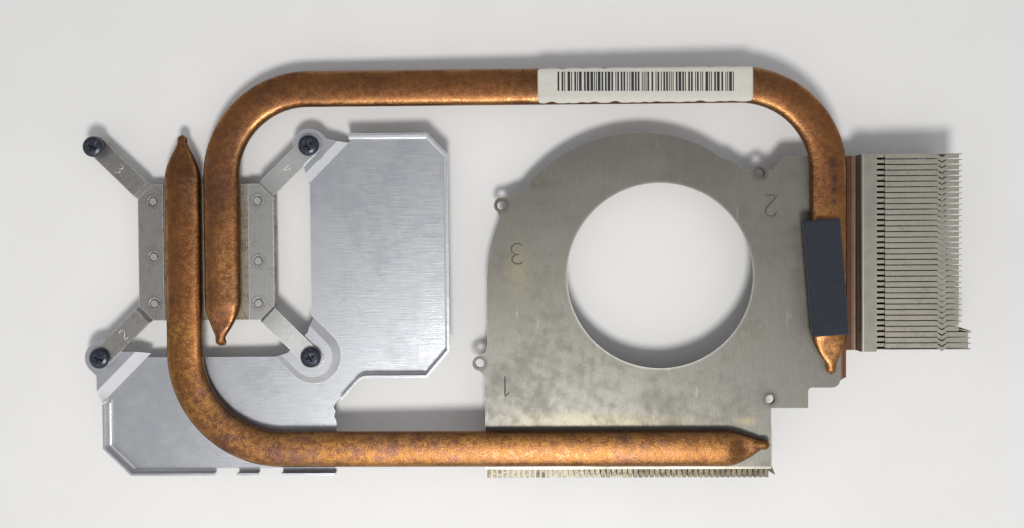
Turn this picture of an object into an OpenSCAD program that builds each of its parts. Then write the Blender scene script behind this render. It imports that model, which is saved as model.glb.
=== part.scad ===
// Laptop heatsink: two flattened heat pipes carry the heat of a cold plate to two fin
// stacks round a fan cover, and a thin heat spreader is held under the bracket arms.
// Frame: origin at the centre of the processor contact face, +X towards the fan,
// +Y towards the upper heat pipe, +Z away from the processor. Millimetres.

/* [Cold plate] */
// Thickness of the cold plate above its contact land
block_t = 3.0; // [2.4:0.1:4]
// Side of the raised contact land on the underside
land_w = 26; // [20:1:30]
// Height of the contact land
land_h = 0.6; // [0.4:0.1:1]
// Corner chamfer of the cold plate and of the brackets
block_chamfer = 4; // [3:0.5:5]
// Diameter of the staked bosses that hold the brackets
boss_d = 1.8; // [1.4:0.1:2.4]
// Height of a staked boss above its bracket
boss_proud = 0.25; // [0.1:0.05:0.4]

/* [Mounting screws] */
// Screw spacing along X
screw_dx = 58.5; // [54:0.5:72]
// Screw spacing along Y
screw_dy = 58; // [54:1:72]
// Thread diameter of the captive screws
screw_d = 2.5; // [2:0.1:3]
// Diameter of a screw's plain neck above its thread
neck_d = 2; // [1.6:0.1:2.1]
// Length of a screw under its head
screw_len = 7.8; // [6:0.1:9.5]
// Head diameter of the captive screws
head_d = 5.6; // [4.5:0.1:7]
// Head height of the captive screws
head_h = 1.8; // [1.2:0.1:2.2]
// Free travel of a captive screw before its retaining ring meets the arm
screw_travel = 2.2; // [1.8:0.1:2.8]

/* [Brackets] */
// Thickness of the steel brackets
bracket_t = 0.8; // [0.6:0.1:1]
// Width of a bracket's flat strip
bracket_w = 7; // [6:0.5:9]
// Width of a bracket arm
arm_w = 5.3; // [4.6:0.1:6]
// Height that an arm steps up beyond the cold plate
arm_rise = 1.5; // [1.2:0.1:2]

/* [Heat pipes] */
// Diameter of the round tube before it is flattened
pipe_d = 8; // [6:0.5:10]
// Thickness of the flattened pipe
pipe_t = 4.7; // [3.5:0.1:6]
// Gap between the two pipes on the cold plate
pipe_gap = 0.8; // [0.5:0.1:2]
// Bend radius of the lower pipe at its centre line
lower_bend_r = 27; // [18:1:34]
// Bend radius of the upper pipe at its centre line
upper_bend_r = 24; // [16:1:28]
// Height of the upper pipe's long run above the processor centre
upper_run_y = 44.5; // [38:0.5:54]

/* [Fan cover] */
// Distance of the fan axis from the processor centre along X
fan_x = 125.2; // [121:0.2:152]
// Height of the fan axis relative to the processor centre
fan_y = -7.3; // [-12:0.1:-2]
// Diameter of the air inlet
inlet_d = 51; // [40:1:60]
// Thickness of the cover sheet
cover_t = 0.5; // [0.4:0.05:0.8]
// Diameter of the fan screw holes
fan_hole_d = 2.5; // [2:0.1:2.8]

/* [Fin stacks] */
// Distance from one fin to the next
fin_pitch = 1.5; // [1.2:0.05:1.6]
// Thickness of the fin sheet
fin_t = 0.2; // [0.15:0.01:0.3]
// Number of fins in the tall stack
tall_fins = 36; // [28:1:36]
// Number of fins in the short stack
short_fins = 52; // [40:1:52]
// Depth of the fins below the pipe seat plane
fin_depth = 11; // [9:0.5:13]
// Length of the tall fins in the air stream
tall_len = 39.3; // [34:0.1:46]
// Length of the short fins in the air stream
short_len = 13.7; // [12:0.1:18]

/* [Spreader] */
// Thickness of the spreader sheet
sheet_t = 0.6; // [0.5:0.05:0.8]
// Step from the pipe seat plane down to the top of the spreader
sheet_drop = 0.65; // [0.3:0.05:1]
// Height of the turned-up edge above the sheet
flange_h = 3; // [2:0.1:4]
// Inside bend radius of the turned-up edge
flange_r = 0.8; // [0.5:0.1:1.2]
// Width of the spreader beside the processor
spreader_w = 37.15; // [30:0.5:44]
// Gap between the lower pipe and the turned-up edge beside it
rim_gap = 0.96; // [0.4:0.02:3]

/* [Label and pad] */
// Length of the paper label
label_l = 57.9; // [40:0.1:70]
// Length of the foam pad
pad_l = 31.3; // [24:0.1:36]
// Width of the foam pad
pad_w = 9.9; // [8:0.1:12]
// Thickness of the foam pad
pad_t = 2.3; // [1:0.1:4]
// Lean of the foam pad to the pipe
pad_turn = 4.4; // [0:0.1:8]

/* [Hidden] */
$fn = 64;

// Clearance of the staked bosses in the brackets
boss_fit = 0.05;
// Gap between neighbouring fins where their flanges lock
lock_gap = 0.04;
// Overlap that joins two solids of one piece
bite = 0.05;

// Seat plane of the pipes, which is also the top of the fan cover
seat_z = land_h + block_t;
pipe_top = seat_z + pipe_t;
pipe_w = 0.02 * round(50 * (pipe_t + PI * (pipe_d - pipe_t) / 2));

// The pair of pipes sits a little left of the processor centre
pair_x = -0.35;
lower_x = pair_x - (pipe_w + pipe_gap) / 2;
upper_x = pair_x + (pipe_w + pipe_gap) / 2;
bracket_in = pipe_w + pipe_gap / 2 + 1.53;
block_half = bracket_in + bracket_w;

// Boss places along a bracket: the middle one is off centre, and differs left and right
boss_x = block_half - 4.3;
boss_y = block_half - 4.65;
left_mid_y = -1.2;
right_mid_y = -2.5;

screw_x = screw_dx / 2;
screw_y = screw_dy / 2;
arm_z = seat_z + arm_rise;
arm_top = arm_z + bracket_t;
arm_tip = 0.8;
arm_run = 1.0;
arm_root = block_half - block_chamfer / 2;
arm_turn = atan2(screw_y - arm_root, screw_x - arm_root);
chamfer_reach = norm([screw_x - arm_root, screw_y - arm_root]);

// Pipe routes
right_x = fan_x + 45.4;
lower_run_y = fan_y - 47.1;
lower_top_y = 32.4;
upper_low_y = -25.8;
tip_taper = 9.6;
tip_nib = 2.4;
tip_len = tip_taper + tip_nib;
nib_r = 1.42;
tip_step = 0.03;

// Fan cover outline, measured from the fan axis
scroll_start = 61.8;
scroll_r0 = 36.4;
scroll_r1 = 47.6;
cover_left = fan_x - scroll_r1;
cover_top = fan_y + 32.5;
cover_low = lower_run_y - 6.2;
wall_x = right_x + pipe_w / 2 + 3.1;
lip_x = wall_x + 4.25;
lip_top = pipe_top;
wall_r = 0.35;
ear_r = 2.1;
collar_r = 1.75;
collar_h = 1.1;
rim_h = 0.2;

// Fin stacks
fin_low = seat_z - fin_depth;
tall_in = right_x - pipe_w / 2 - 0.2;
tall_out = tall_in + tall_len;
tall_high = cover_top;
tall_low = cover_top - (tall_fins - 1) * fin_pitch - 0.7;
flange_in = lip_x + 2.2;
web_out = 0.8;
flange_gap = 0.24;
flange_step = 0.6;
low_flange = 0.6;
vee_x = tall_out - 4.5;
vee_w = 3.1;
vee_h = 0.95;
bent_at = tall_fins - 5;
long_extra = 2.5;
short_left = cover_left - 0.3;
tab_end_x = short_left + short_fins * fin_pitch + 0.2;
short_back = lower_run_y + pipe_w / 2 + 0.1;
tooth_gap = 0.4;

// Each pipe ends with the stack that it serves
lower_end_x = tab_end_x - 0.7;
upper_end_y = tall_low - 6.5;

// Spreader planes and edges
sheet_top = seat_z - sheet_drop;
ear_z = arm_z;
ear_out = 4.7;
right_inner_x = screw_x - 0.5;
low_inner_y = -(screw_y + 0.2);
right_outer_x = right_inner_x + spreader_w;
top_outer_y = screw_y + 1.9;
right_low_y = -(screw_y + 4.4);
low_outer_y = lower_run_y - pipe_w / 2 - rim_gap;
left_outer_x = 1.7 - screw_x;
low_right_x = screw_x + 6.2;
top_reach = 6.6;
left_reach = 8.5;
ramp_top = 2.2;
ramp_left = 3.0;
land_r = 5.6;
land_ramp = 2.1;
land_open = 5.5;

label_w = 9.9;
label_t = 0.15;
label_x = fan_x - 4.3;

// Points of an arc about c
function arc(c, r, a0, a1, n) =
    [for (i = [0 : n]) let (a = a0 + (a1 - a0) * i / n) [c[0] + r * cos(a), c[1] + r * sin(a)]];

// Direction of a path's leg from point i to the next
function leg(p, i) = let (d = p[i + 1] - p[i]) d / norm(d);

// Mitre vector at point i of an open path, to the right-hand side of its direction
function mitre(p, i) =
    let (last = len(p) - 1)
    let (a = leg(p, max(i - 1, 0)))
    let (b = leg(p, min(i, last - 1)))
    let (n = [a[1] + b[1], -a[0] - b[0]])
    n / (1 + a * b);

// A folded strip carried along an open path on a level plane. Its profile holds [outward, up]
// points, first along the outer skin and then back along the inner skin
module sweep(path, profile) {
    m = len(profile);
    last = len(path) - 1;
    rings = [
        for (i = [0 : last])
            let (o = mitre(path, i))
            for (q = profile) [path[i][0] + o[0] * q[0], path[i][1] + o[1] * q[0], q[1]]
    ];
    sides = [
        for (i = [0 : last - 1])
            for (j = [0 : m - 1])
                let (k = (j + 1) % m)
                for (f = [[i * m + j, i * m + k, (i + 1) * m + j],
                          [i * m + k, (i + 1) * m + k, (i + 1) * m + j]]) f
    ];
    head = [for (j = [0 : m / 2 - 2]) [m - 1 - j, m - 2 - j, j + 1, j]];
    tail = [for (q = head) [for (k = [3 : -1 : 0]) last * m + q[k]]];
    polyhedron(points = rings, faces = concat(sides, head, tail));
}

// Flat oval section of a pipe
module oval(w, t) {
    square([w - t, t], center = true);
    for (s = [-1, 1]) translate([s * (w - t) / 2, 0]) circle(d = t);
}

// Straight pipe from the origin along +X
module pipe_straight(l) {
    rotate([90, 0, 90]) linear_extrude(l) oval(pipe_w, pipe_t);
}

// Quarter bend about the origin, from the +X axis to the +Y axis
module pipe_bend(r) {
    rotate_extrude(angle = 90) translate([r, 0]) oval(pipe_w, pipe_t);
}

// One ring of a swaged pipe end: a flat oval of half width a and half height b
function oval_ring(x, a, b, n) = [
    for (s = [1, -1])
        for (i = [0 : n])
            let (q = (s > 0 ? -90 : 90) + 180 * i / n)
            [x, s * (a - b) + b * cos(q), b * sin(q)]
];

// How far the swaged end has closed at a share u of its taper: slow at the shoulder, then steep
function closing(u) = 0.35 * u * u * (3 - 2 * u) + 0.65 * pow(u, 1.9);

// Swaged and sealed pipe end along +X, from the full section to a round nib
module pipe_tip() {
    n = 14;
    steps = 12;
    half_w = pipe_w / 2 - tip_step;
    half_t = pipe_t / 2 - tip_step;
    taper = [
        for (i = [0 : steps])
            let (u = i / steps, e = closing(u))
            [tip_taper * u, half_w + (nib_r - half_w) * e, half_t + (nib_r - half_t) * e]
    ];
    nib = [
        for (i = [0 : 4])
            let (q = 90 * i / 5)
            [tip_len - nib_r * 0.8 * (1 - sin(q)), nib_r * cos(q), nib_r * cos(q)]
    ];
    stations = concat([[-bite, half_w, half_t]], taper, nib);
    m = 2 * (n + 1);
    last = len(stations) - 1;
    points = [for (s = stations) each oval_ring(s[0], s[1] + 0.001, s[2], n)];
    sides = [
        for (i = [0 : last - 1])
            for (j = [0 : m - 1])
                let (k = (j + 1) % m)
                for (f = [[i * m + j, (i + 1) * m + j, i * m + k],
                          [i * m + k, (i + 1) * m + j, (i + 1) * m + k]]) f
    ];
    head = [for (j = [0 : m - 1]) j];
    tail = [for (j = [m - 1 : -1 : 0]) last * m + j];
    polyhedron(points = points, faces = concat(sides, [head, tail]));
}

// Square block with its corners cut
module octagon(half, cut) {
    polygon([
        [-half, cut - half], [cut - half, -half], [half - cut, -half], [half, cut - half],
        [half, half - cut], [half - cut, half], [cut - half, half], [-half, half - cut]
    ]);
}

function boss_places(side) = [
    [side * boss_x, boss_y],
    [side * boss_x, side < 0 ? left_mid_y : right_mid_y],
    [side * boss_x, -boss_y]
];

module cold_plate() {
    color("darkseagreen") {
        translate([0, 0, land_h]) linear_extrude(block_t) octagon(block_half, block_chamfer);
        translate([-land_w / 2, -land_w / 2, 0]) cube([land_w, land_w, land_h + bite]);
        for (side = [-1, 1])
            for (p = boss_places(side))
                translate([p[0], p[1], seat_z - bite])
                    cylinder(d = boss_d, h = bracket_t + boss_proud + bite);
    }
}

// Arm from the chamfer out to its screw: local origin at the screw, +X inwards
module bracket_arm() {
    difference() {
        union() {
            translate([0, 0, arm_z]) {
                translate([0, -arm_w / 2, 0]) cube([chamfer_reach - arm_run, arm_w, bracket_t]);
                translate([-arm_tip, 0, 0]) cylinder(d = arm_w, h = bracket_t);
                translate([-arm_tip, -arm_w / 2, 0]) cube([arm_tip + bite, arm_w, bracket_t]);
            }
            translate([0, arm_w / 2, 0]) rotate([90, 0, 0]) linear_extrude(arm_w) polygon([
                [chamfer_reach - arm_run - bite, arm_z], [chamfer_reach - arm_run, arm_z],
                [chamfer_reach, seat_z], [chamfer_reach + 1.1, seat_z],
                [chamfer_reach + 1.1, seat_z + bracket_t], [chamfer_reach, seat_z + bracket_t],
                [chamfer_reach - arm_run, arm_top], [chamfer_reach - arm_run - bite, arm_top]
            ]);
        }
        translate([0, 0, arm_z - 1]) cylinder(d = screw_d + 0.3, h = bracket_t + 2);
    }
}

// Bracket strip with its two arms on the side given by -1 or 1
module bracket(side) {
    difference() {
        union() {
            translate([0, 0, seat_z]) linear_extrude(bracket_t) intersection() {
                octagon(block_half, block_chamfer);
                translate([side * (bracket_in + bracket_w / 2), 0])
                    square([bracket_w, 2 * block_half], center = true);
            }
            for (up = [-1, 1])
                translate([side * screw_x, up * screw_y, 0])
                    rotate(side > 0 ? 180 + up * arm_turn : -up * arm_turn)
                        bracket_arm();
        }
        for (p = boss_places(side)) translate([p[0], p[1], 0]) {
            translate([0, 0, seat_z - 1]) cylinder(d = boss_d + 2 * boss_fit, h = bracket_t + 2);
            translate([0, 0, seat_z + bracket_t - 0.22]) cylinder(d = boss_d + 1.3, h = 1);
        }
    }
}

module left_bracket() {
    color("slategray") bracket(-1);
}

module right_bracket() {
    color("lightslategray") bracket(1);
}

// Lower pipe: down beside the processor, round a bend and along the short stack
module lower_heat_pipe() {
    top = lower_top_y - tip_len;
    turn = lower_run_y + lower_bend_r;
    end = lower_end_x - tip_len;
    color("peru") translate([0, 0, seat_z + pipe_t / 2]) {
        translate([lower_x, turn, 0]) rotate(90) pipe_straight(top - turn);
        translate([lower_x, top, 0]) rotate(90) pipe_tip();
        translate([lower_x + lower_bend_r, turn, 0]) rotate(180) pipe_bend(lower_bend_r);
        translate([lower_x + lower_bend_r, lower_run_y, 0])
            pipe_straight(end - lower_x - lower_bend_r);
        translate([end, lower_run_y, 0]) pipe_tip();
    }
}

// Upper pipe: up beside the processor, across the top and down over the tall stack
module upper_heat_pipe() {
    low = upper_low_y + tip_len;
    turn = upper_run_y - upper_bend_r;
    end = upper_end_y + tip_len;
    color("chocolate") translate([0, 0, seat_z + pipe_t / 2]) {
        translate([upper_x, low, 0]) rotate(90) pipe_straight(turn - low);
        translate([upper_x, low, 0]) rotate(-90) pipe_tip();
        translate([upper_x + upper_bend_r, turn, 0]) rotate(90) pipe_bend(upper_bend_r);
        translate([upper_x + upper_bend_r, upper_run_y, 0])
            pipe_straight(right_x - upper_x - 2 * upper_bend_r);
        translate([right_x - upper_bend_r, turn, 0]) pipe_bend(upper_bend_r);
        translate([right_x, end, 0]) rotate(90) pipe_straight(turn - end);
        translate([right_x, end, 0]) rotate(-90) pipe_tip();
    }
}

// Turned-up edge: quarter bend and upright wall, as [outward, up] from the fold line
function flange_profile() = concat(
    [[-bite, sheet_top - sheet_t]],
    arc([0, sheet_top + flange_r], flange_r + sheet_t, -90, 0, 6),
    [[flange_r + sheet_t, sheet_top + flange_h], [flange_r, sheet_top + flange_h]],
    arc([0, sheet_top + flange_r], flange_r, 0, -90, 6),
    [[-bite, sheet_top]]
);

// Curved lower edge of the right-hand field, from its level part down to the waist
waist_x = low_right_x + 0.2;
waist_y = low_outer_y + 19.1;
slope_r = 5;
slope_top_x = right_outer_x - 21.2;
slope_low = [waist_x + 0.9, waist_y + 1.2];
s_curve = concat(
    arc([slope_top_x, right_low_y - slope_r], slope_r, 90, 135, 6),
    [slope_low]
);

right_edge = concat(
    [[right_inner_x + top_reach * sqrt(2) + 1.6, top_outer_y],
     [right_outer_x - 4.9, top_outer_y],
     [right_outer_x - 0.1, top_outer_y - 4.8],
     [right_outer_x, right_low_y + 6.4],
     [right_outer_x - 5.5, right_low_y]],
    s_curve
);

left_edge = [
    [1.8, low_outer_y],
    [left_outer_x + 6.9, low_outer_y],
    [left_outer_x, low_outer_y + 6.7],
    [left_outer_x, low_inner_y - 12.7]
];

// Fold line of an ear, as two points: p is the screw, reach the distance to the fold
function fold_top(p) = let (k = p[0] - p[1] + top_reach * sqrt(2))
    [[right_inner_x, right_inner_x - k], [top_outer_y + k, top_outer_y]];
function fold_left(p) = let (k = p[0] - p[1] + left_reach * sqrt(2))
    [[low_inner_y + k, low_inner_y], [left_outer_x - 0.6, left_outer_x - 0.6 - k]];

top_fold = fold_top([screw_x, screw_y]);
left_fold = fold_left([-screw_x, -screw_y]);

// Flat field of the spreader, with the torn spot at the waist
module sheet_field() {
    polygon(concat(
        [top_fold[0], top_fold[1]],
        [[right_outer_x - 4.9, top_outer_y],
         [right_outer_x - 0.1, top_outer_y - 4.8],
         [right_outer_x, right_low_y + 6.4],
         [right_outer_x - 5.5, right_low_y]],
        s_curve,
        [[waist_x - 1.1, waist_y - 2.0], [waist_x - 0.5, waist_y - 3.3],
         [waist_x - 0.9, waist_y - 4.6], [low_right_x, waist_y - 6.2],
         [low_right_x, low_outer_y], [left_outer_x + 6.9, low_outer_y],
         [left_outer_x, low_outer_y + 6.7], [left_outer_x, low_inner_y - 12.7],
         left_fold[1], left_fold[0]],
        [[screw_x - 10.7, low_inner_y], [right_inner_x, -screw_y + 10.5]]
    ));
}

// Raised ear of a screw with its ramp: local origin at the screw, +X to the fold line
module ear(reach, ramp) {
    top = reach - ramp;
    wide = reach + 1.4;
    difference() {
        union() {
            translate([0, 0, ear_z - sheet_t]) linear_extrude(sheet_t) {
                circle(r = ear_out);
                polygon([[0, -ear_out], [top * 0.45, -ear_out], [top + bite, -wide * 0.78],
                         [top + bite, wide * 0.78], [top * 0.45, ear_out], [0, ear_out]]);
            }
            intersection() {
                translate([0, wide, 0]) rotate([90, 0, 0]) linear_extrude(2 * wide) polygon([
                    [top, ear_z - sheet_t], [reach, sheet_top - sheet_t],
                    [reach + bite, sheet_top - sheet_t], [reach + bite, sheet_top],
                    [reach, sheet_top], [top, ear_z]
                ]);
                linear_extrude(2 * ear_z) polygon([
                    [top, -wide * 0.78], [reach + bite, -wide],
                    [reach + bite, wide], [top, wide * 0.78]
                ]);
            }
        }
        translate([0, 0, ear_z - 2]) cylinder(d = screw_d + 0.7, h = 4);
    }
}

// Frustum with a half round end, used for both skins of the raised land
module land_body(grow, z0, z1) {
    hull() {
        for (x = [0, -land_open - land_ramp - grow])
            translate([x, 0, z0]) cylinder(r1 = land_r + land_ramp, r2 = land_r, h = z1 - z0, $fn = 48);
    }
}

// Raised land round the lower right screw: local origin at the screw, +X outwards
module land() {
    wide = land_r + land_ramp;
    difference() {
        intersection() {
            union() {
                land_body(4, sheet_top, ear_z);
                translate([0, 0, sheet_top - sheet_t]) linear_extrude(sheet_t + bite) {
                    circle(r = wide);
                    translate([-14, -wide]) square([14, 2 * wide]);
                }
            }
            linear_extrude(2 * ear_z) polygon([
                [-land_open, -4], [-land_open, 4], [-land_open - 2, wide], [-land_open - 2, wide + 1],
                [wide + 1, wide + 1], [wide + 1, -wide - 1], [-land_open - 2, -wide - 1],
                [-land_open - 2, -wide]
            ]);
        }
        translate([0, 0, -sheet_t]) land_body(8, sheet_top - 0.01, ear_z);
        translate([0, 0, ear_z - 2]) cylinder(d = screw_d + 0.7, h = 4);
    }
}

module spreader_plate() {
    wide = land_r + land_ramp;
    color("lightsteelblue") {
        translate([0, 0, sheet_top - sheet_t]) linear_extrude(sheet_t) difference() {
            sheet_field();
            translate([screw_x, -screw_y]) rotate(-45) {
                circle(r = wide - bite);
                translate([-14, bite - wide]) square([14, 2 * (wide - bite)]);
            }
        }
        sweep([for (i = [len(right_edge) - 1 : -1 : 0]) right_edge[i]], flange_profile());
        sweep([for (i = [len(left_edge) - 1 : -1 : 0]) left_edge[i]], flange_profile());
        for (tab = [[8.2, 5.8], [low_right_x - 15, 15]])
            translate([tab[0], low_outer_y, 0]) rotate([90, 0, 90]) linear_extrude(tab[1])
                mirror([1, 0]) polygon(flange_profile());
        translate([screw_x, screw_y, 0]) rotate(-45) ear(top_reach, ramp_top);
        translate([-screw_x, -screw_y, 0]) rotate(-45) ear(left_reach, ramp_left);
        translate([screw_x, -screw_y, 0]) rotate(-45) land();
    }
}

// Radius of the scroll at an angle about the fan axis
function scroll_r(a) = scroll_r0 + (scroll_r1 - scroll_r0) * (a - scroll_start) / (180 - scroll_start);

fan_holes = [
    [cover_left + 4.2, fan_y + 19.7],
    [cover_left - 2.1, fan_y - 23.9],
    [fan_x + 27.4, fan_y + 27.9],
    [fan_x + 30.0, fan_y - 34.2]
];

module cover_outline() {
    corner = [right_x - pipe_w / 2, lower_run_y + 10.5];
    step_y = tall_low - 10.3;
    arm_y = tall_low - 7.6;
    polygon(concat(
        [for (i = [0 : 60]) let (a = scroll_start + (180 - scroll_start) * i / 60)
            [fan_x + scroll_r(a) * cos(a), fan_y + scroll_r(a) * sin(a)]],
        [[cover_left, fan_y - 20], [cover_left - 0.7, fan_y - 28], [cover_left - 0.7, cover_low],
         [tab_end_x, cover_low], [tab_end_x, corner[1]], [corner[0], corner[1]]],
        arc([corner[0] + 1, step_y - 1], 1, 180, 90, 5),
        arc([right_x + 1.6, step_y + 2.2], 2.2, -90, -8, 6),
        [[right_x + 4.9, arm_y], [right_x + 5.4, arm_y], [right_x + 5.4, tall_low],
         [wall_x - wall_r, tall_low], [wall_x - wall_r, cover_top], [fan_x + 34.1, cover_top],
         [fan_x + 30.9, fan_y + 28.8], [fan_x + 23.4, fan_y + 28.8], [fan_x + 19.4, fan_y + 31.6]]
    ));
}

// Quarter ring of sheet in the first quadrant
module quarter(r, t) {
    intersection() {
        difference() {
            circle(r = r + t);
            circle(r = r);
        }
        square(r + t);
    }
}

// Side profile of the step from the cover up to the lip on the tall fins
module step_profile() {
    t = cover_t;
    translate([wall_x - wall_r, seat_z + wall_r]) mirror([0, 1]) quarter(wall_r, t);
    translate([wall_x, seat_z + wall_r - 0.01]) square([t, lip_top - t - seat_z - 2 * wall_r + 0.02]);
    translate([wall_x + t + wall_r, lip_top - t - wall_r]) mirror([1, 0]) quarter(wall_r, t);
    translate([wall_x + t + wall_r - 0.01, lip_top - t]) square([lip_x - wall_x - t - wall_r, t]);
    translate([wall_x - wall_r - 1, seat_z - t]) square([1.01, t]);
}

module fan_cover() {
    color("rosybrown") difference() {
        union() {
            translate([0, 0, seat_z - cover_t]) linear_extrude(cover_t) cover_outline();
            translate([0, cover_top, 0]) rotate([90, 0, 0])
                linear_extrude(cover_top - tall_low) step_profile();
            translate([0, 0, seat_z - cover_t]) linear_extrude(cover_t) {
                translate(fan_holes[0]) polygon([
                    [-1.2, -1.7], [-0.2, -4.1], [-1.2, -7.1], [0.5, -8.5], [8, -2], [5.4, 3.8], [0.6, 2]
                ]);
                translate(fan_holes[1]) polygon([
                    [-0.3, 2], [1.6, 3], [2.1, 5.5], [4, 5.5], [4, -5.5], [1.5, -5.5], [1.2, -3.6],
                    [-0.3, -2]
                ]);
            }
            for (p = fan_holes) translate([p[0], p[1], seat_z - cover_t]) {
                cylinder(r = ear_r, h = cover_t);
                translate([0, 0, -collar_h]) cylinder(r = collar_r, h = collar_h + cover_t + rim_h);
            }
        }
        translate([fan_x, fan_y, seat_z - 2]) cylinder(d = inlet_d, h = 4);
        for (p = fan_holes) translate([p[0], p[1], seat_z - 4]) cylinder(d = fan_hole_d, h = 6);
    }
}

// Plan of a locking flange: tongue on the far side, notch on the near side
module lock_plan(x0, x1, width, tongue) {
    half = vee_w / 2;
    difference() {
        union() {
            translate([x0, -width]) square([x1 - x0, width]);
            if (tongue) polygon([
                [vee_x - half + 0.25, -width + 0.01], [vee_x, -width - vee_h],
                [vee_x + half - 0.25, -width + 0.01]
            ]);
        }
        polygon([[vee_x - half, 0.01], [vee_x, -vee_h - 0.1], [vee_x + half, 0.01]]);
    }
}

// One tall fin with its face on y = 0 and its flanges towards -Y
module tall_fin(x_end, web_end, flanges) {
    high = pipe_top;
    width = fin_pitch - lock_gap;
    difference() {
        rotate([90, 0, 0]) linear_extrude(fin_t) polygon([
            [tall_in, fin_low], [web_end, fin_low], [web_end, high], [flange_in, high],
            [flange_in, high - flange_step], [wall_x + cover_t + 0.05, high - flange_step],
            [wall_x + cover_t + 0.05, seat_z - cover_t], [tall_in, seat_z - cover_t]
        ]);
        for (z = [fin_low - 1, high - fin_t - 0.02]) translate([0, 0, z])
            linear_extrude(1 + fin_t + 0.02)
                polygon([[vee_x - vee_w / 2, 0.01], [vee_x + vee_w / 2, 0.01],
                         [vee_x + vee_w / 2, -fin_t - 0.01], [vee_x - vee_w / 2, -fin_t - 0.01]]);
    }
    if (flanges) {
        translate([wall_x + cover_t + 0.05, -low_flange * fin_pitch, high - flange_step - fin_t])
            cube([flange_in - wall_x - cover_t, low_flange * fin_pitch, fin_t]);
        translate([0, 0, high - fin_t]) linear_extrude(fin_t)
            lock_plan(flange_in, x_end, width - flange_gap, true);
        translate([0, 0, fin_low]) linear_extrude(fin_t) lock_plan(tall_in, x_end, width, false);
        translate([tall_in, -width, seat_z - cover_t - fin_t])
            cube([wall_x - tall_in, width, fin_t]);
    }
}

module tall_fin_stack() {
    color("darkgray") for (i = [0 : bent_at - 1])
        translate([0, tall_high - i * fin_pitch, 0]) tall_fin(tall_out, tall_out + web_out, true);
}

// The fin beside the long ones, its outer end pushed towards them
module bent_fin() {
    y = tall_high - bent_at * fin_pitch;
    color("gray") {
        translate([0, y, 0]) tall_fin(tall_out, tall_out, true);
        translate([0, 0, fin_low]) linear_extrude(pipe_top - fin_low) polygon([
            [tall_out - bite, y], [tall_out, y], [tall_out + long_extra + web_out, y - fin_pitch * 0.8],
            [tall_out + long_extra + web_out, y - fin_pitch * 0.8 - fin_t], [tall_out, y - fin_t],
            [tall_out - bite, y - fin_t]
        ]);
    }
}

// Last fins of the tall stack, which reach further out, and the plain closing fin
module long_fins() {
    color("dimgray") for (i = [bent_at + 1 : tall_fins - 1])
        translate([0, tall_high - i * fin_pitch, 0])
            tall_fin(tall_out + long_extra, tall_out + long_extra + web_out, i < tall_fins - 1);
}

// One short fin with its face on x = 0 and its flanges towards +X
module short_fin() {
    high = seat_z - cover_t;
    width = fin_pitch - lock_gap;
    front = short_back - short_len;
    tooth = cover_low - 0.2;
    translate([0, front, fin_low]) cube([fin_t, short_len, high - fin_low]);
    translate([0, front, fin_low]) cube([width, short_len, fin_t]);
    translate([0, tooth, high - fin_t]) cube([width, short_back - tooth, fin_t]);
    translate([0, front, high - fin_t]) cube([width - tooth_gap, tooth - front + bite, fin_t]);
}

module short_fin_stack() {
    color("khaki") for (i = [0 : short_fins - 1])
        translate([short_left + i * fin_pitch, 0, 0]) short_fin();
}

// Plain fin that closes the short stack, its front corner twisted open
module end_fin() {
    high = seat_z - cover_t;
    x = short_left + short_fins * fin_pitch + 0.2;
    front = short_back - short_len + 0.7;
    knee = front + 2.6;
    h = high - fin_low;
    color("darkkhaki") {
        translate([x, knee, fin_low]) cube([fin_t, short_back - knee, h]);
        polyhedron(
            points = [
                [x, knee + bite, fin_low], [x + fin_t, knee + bite, fin_low],
                [x + fin_t, knee + bite, high], [x, knee + bite, high],
                [x - 0.1, front, fin_low], [x - 0.1 + fin_t, front, fin_low],
                [x + 1.0 + fin_t, front, high], [x + 1.0, front, high]
            ],
            faces = [
                [0, 1, 2, 3], [4, 7, 6, 5], [1, 0, 4, 5],
                [5, 6, 2], [5, 2, 1], [7, 3, 2, 6], [0, 3, 4], [3, 7, 4]
            ]
        );
    }
}

// Captive screw standing on the arm, lifted by its own travel where lift is 1
module screw(side, up, lift) {
    z = arm_top + lift * screw_travel;
    color("darkslategray") translate([side * screw_x, up * screw_y, z]) {
        difference() {
            union() {
                cylinder(d = head_d, h = head_h * 0.6);
                translate([0, 0, head_h * 0.6 - 0.01])
                    cylinder(d1 = head_d, d2 = head_d - 1.1, h = head_h * 0.4 + 0.01);
            }
            for (q = [0, 90]) rotate(q) translate([-1.35, -0.3, head_h - 1.0]) cube([2.7, 0.6, 2]);
        }
        translate([0, 0, -screw_len]) cylinder(d = screw_d, h = screw_len + ring_top - ring_t);
        translate([0, 0, -screw_len + 1]) cylinder(d = neck_d, h = screw_len - 0.5);
    }
}

// Retaining ring on the neck of its screw, against the thread's shoulder, open on one side
ring_t = 0.5;
ring_top = -(bracket_t + screw_travel);

module ring(side, up, lift) {
    z = arm_top + lift * screw_travel + ring_top - ring_t;
    color("silver") translate([side * screw_x, up * screw_y, z + 0.01]) difference() {
        cylinder(d = 4.6, h = ring_t - 0.02);
        translate([0, 0, -1]) cylinder(d = neck_d + 0.04, h = 3);
        translate([0, -0.85, -1]) cube([4, 1.7, 3]);
    }
}

// The first one is pushed up, because the part rests on its tip
module screw_top_left() { screw(-1, 1, 1); }
module screw_top_right() { screw(1, 1, 0); }
module screw_bottom_left() { screw(-1, -1, 0); }
module screw_bottom_right() { screw(1, -1, 0); }

module ring_top_left() { ring(-1, 1, 1); }
module ring_top_right() { ring(1, 1, 0); }
module ring_bottom_left() { ring(-1, -1, 0); }
module ring_bottom_right() { ring(1, -1, 0); }

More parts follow.
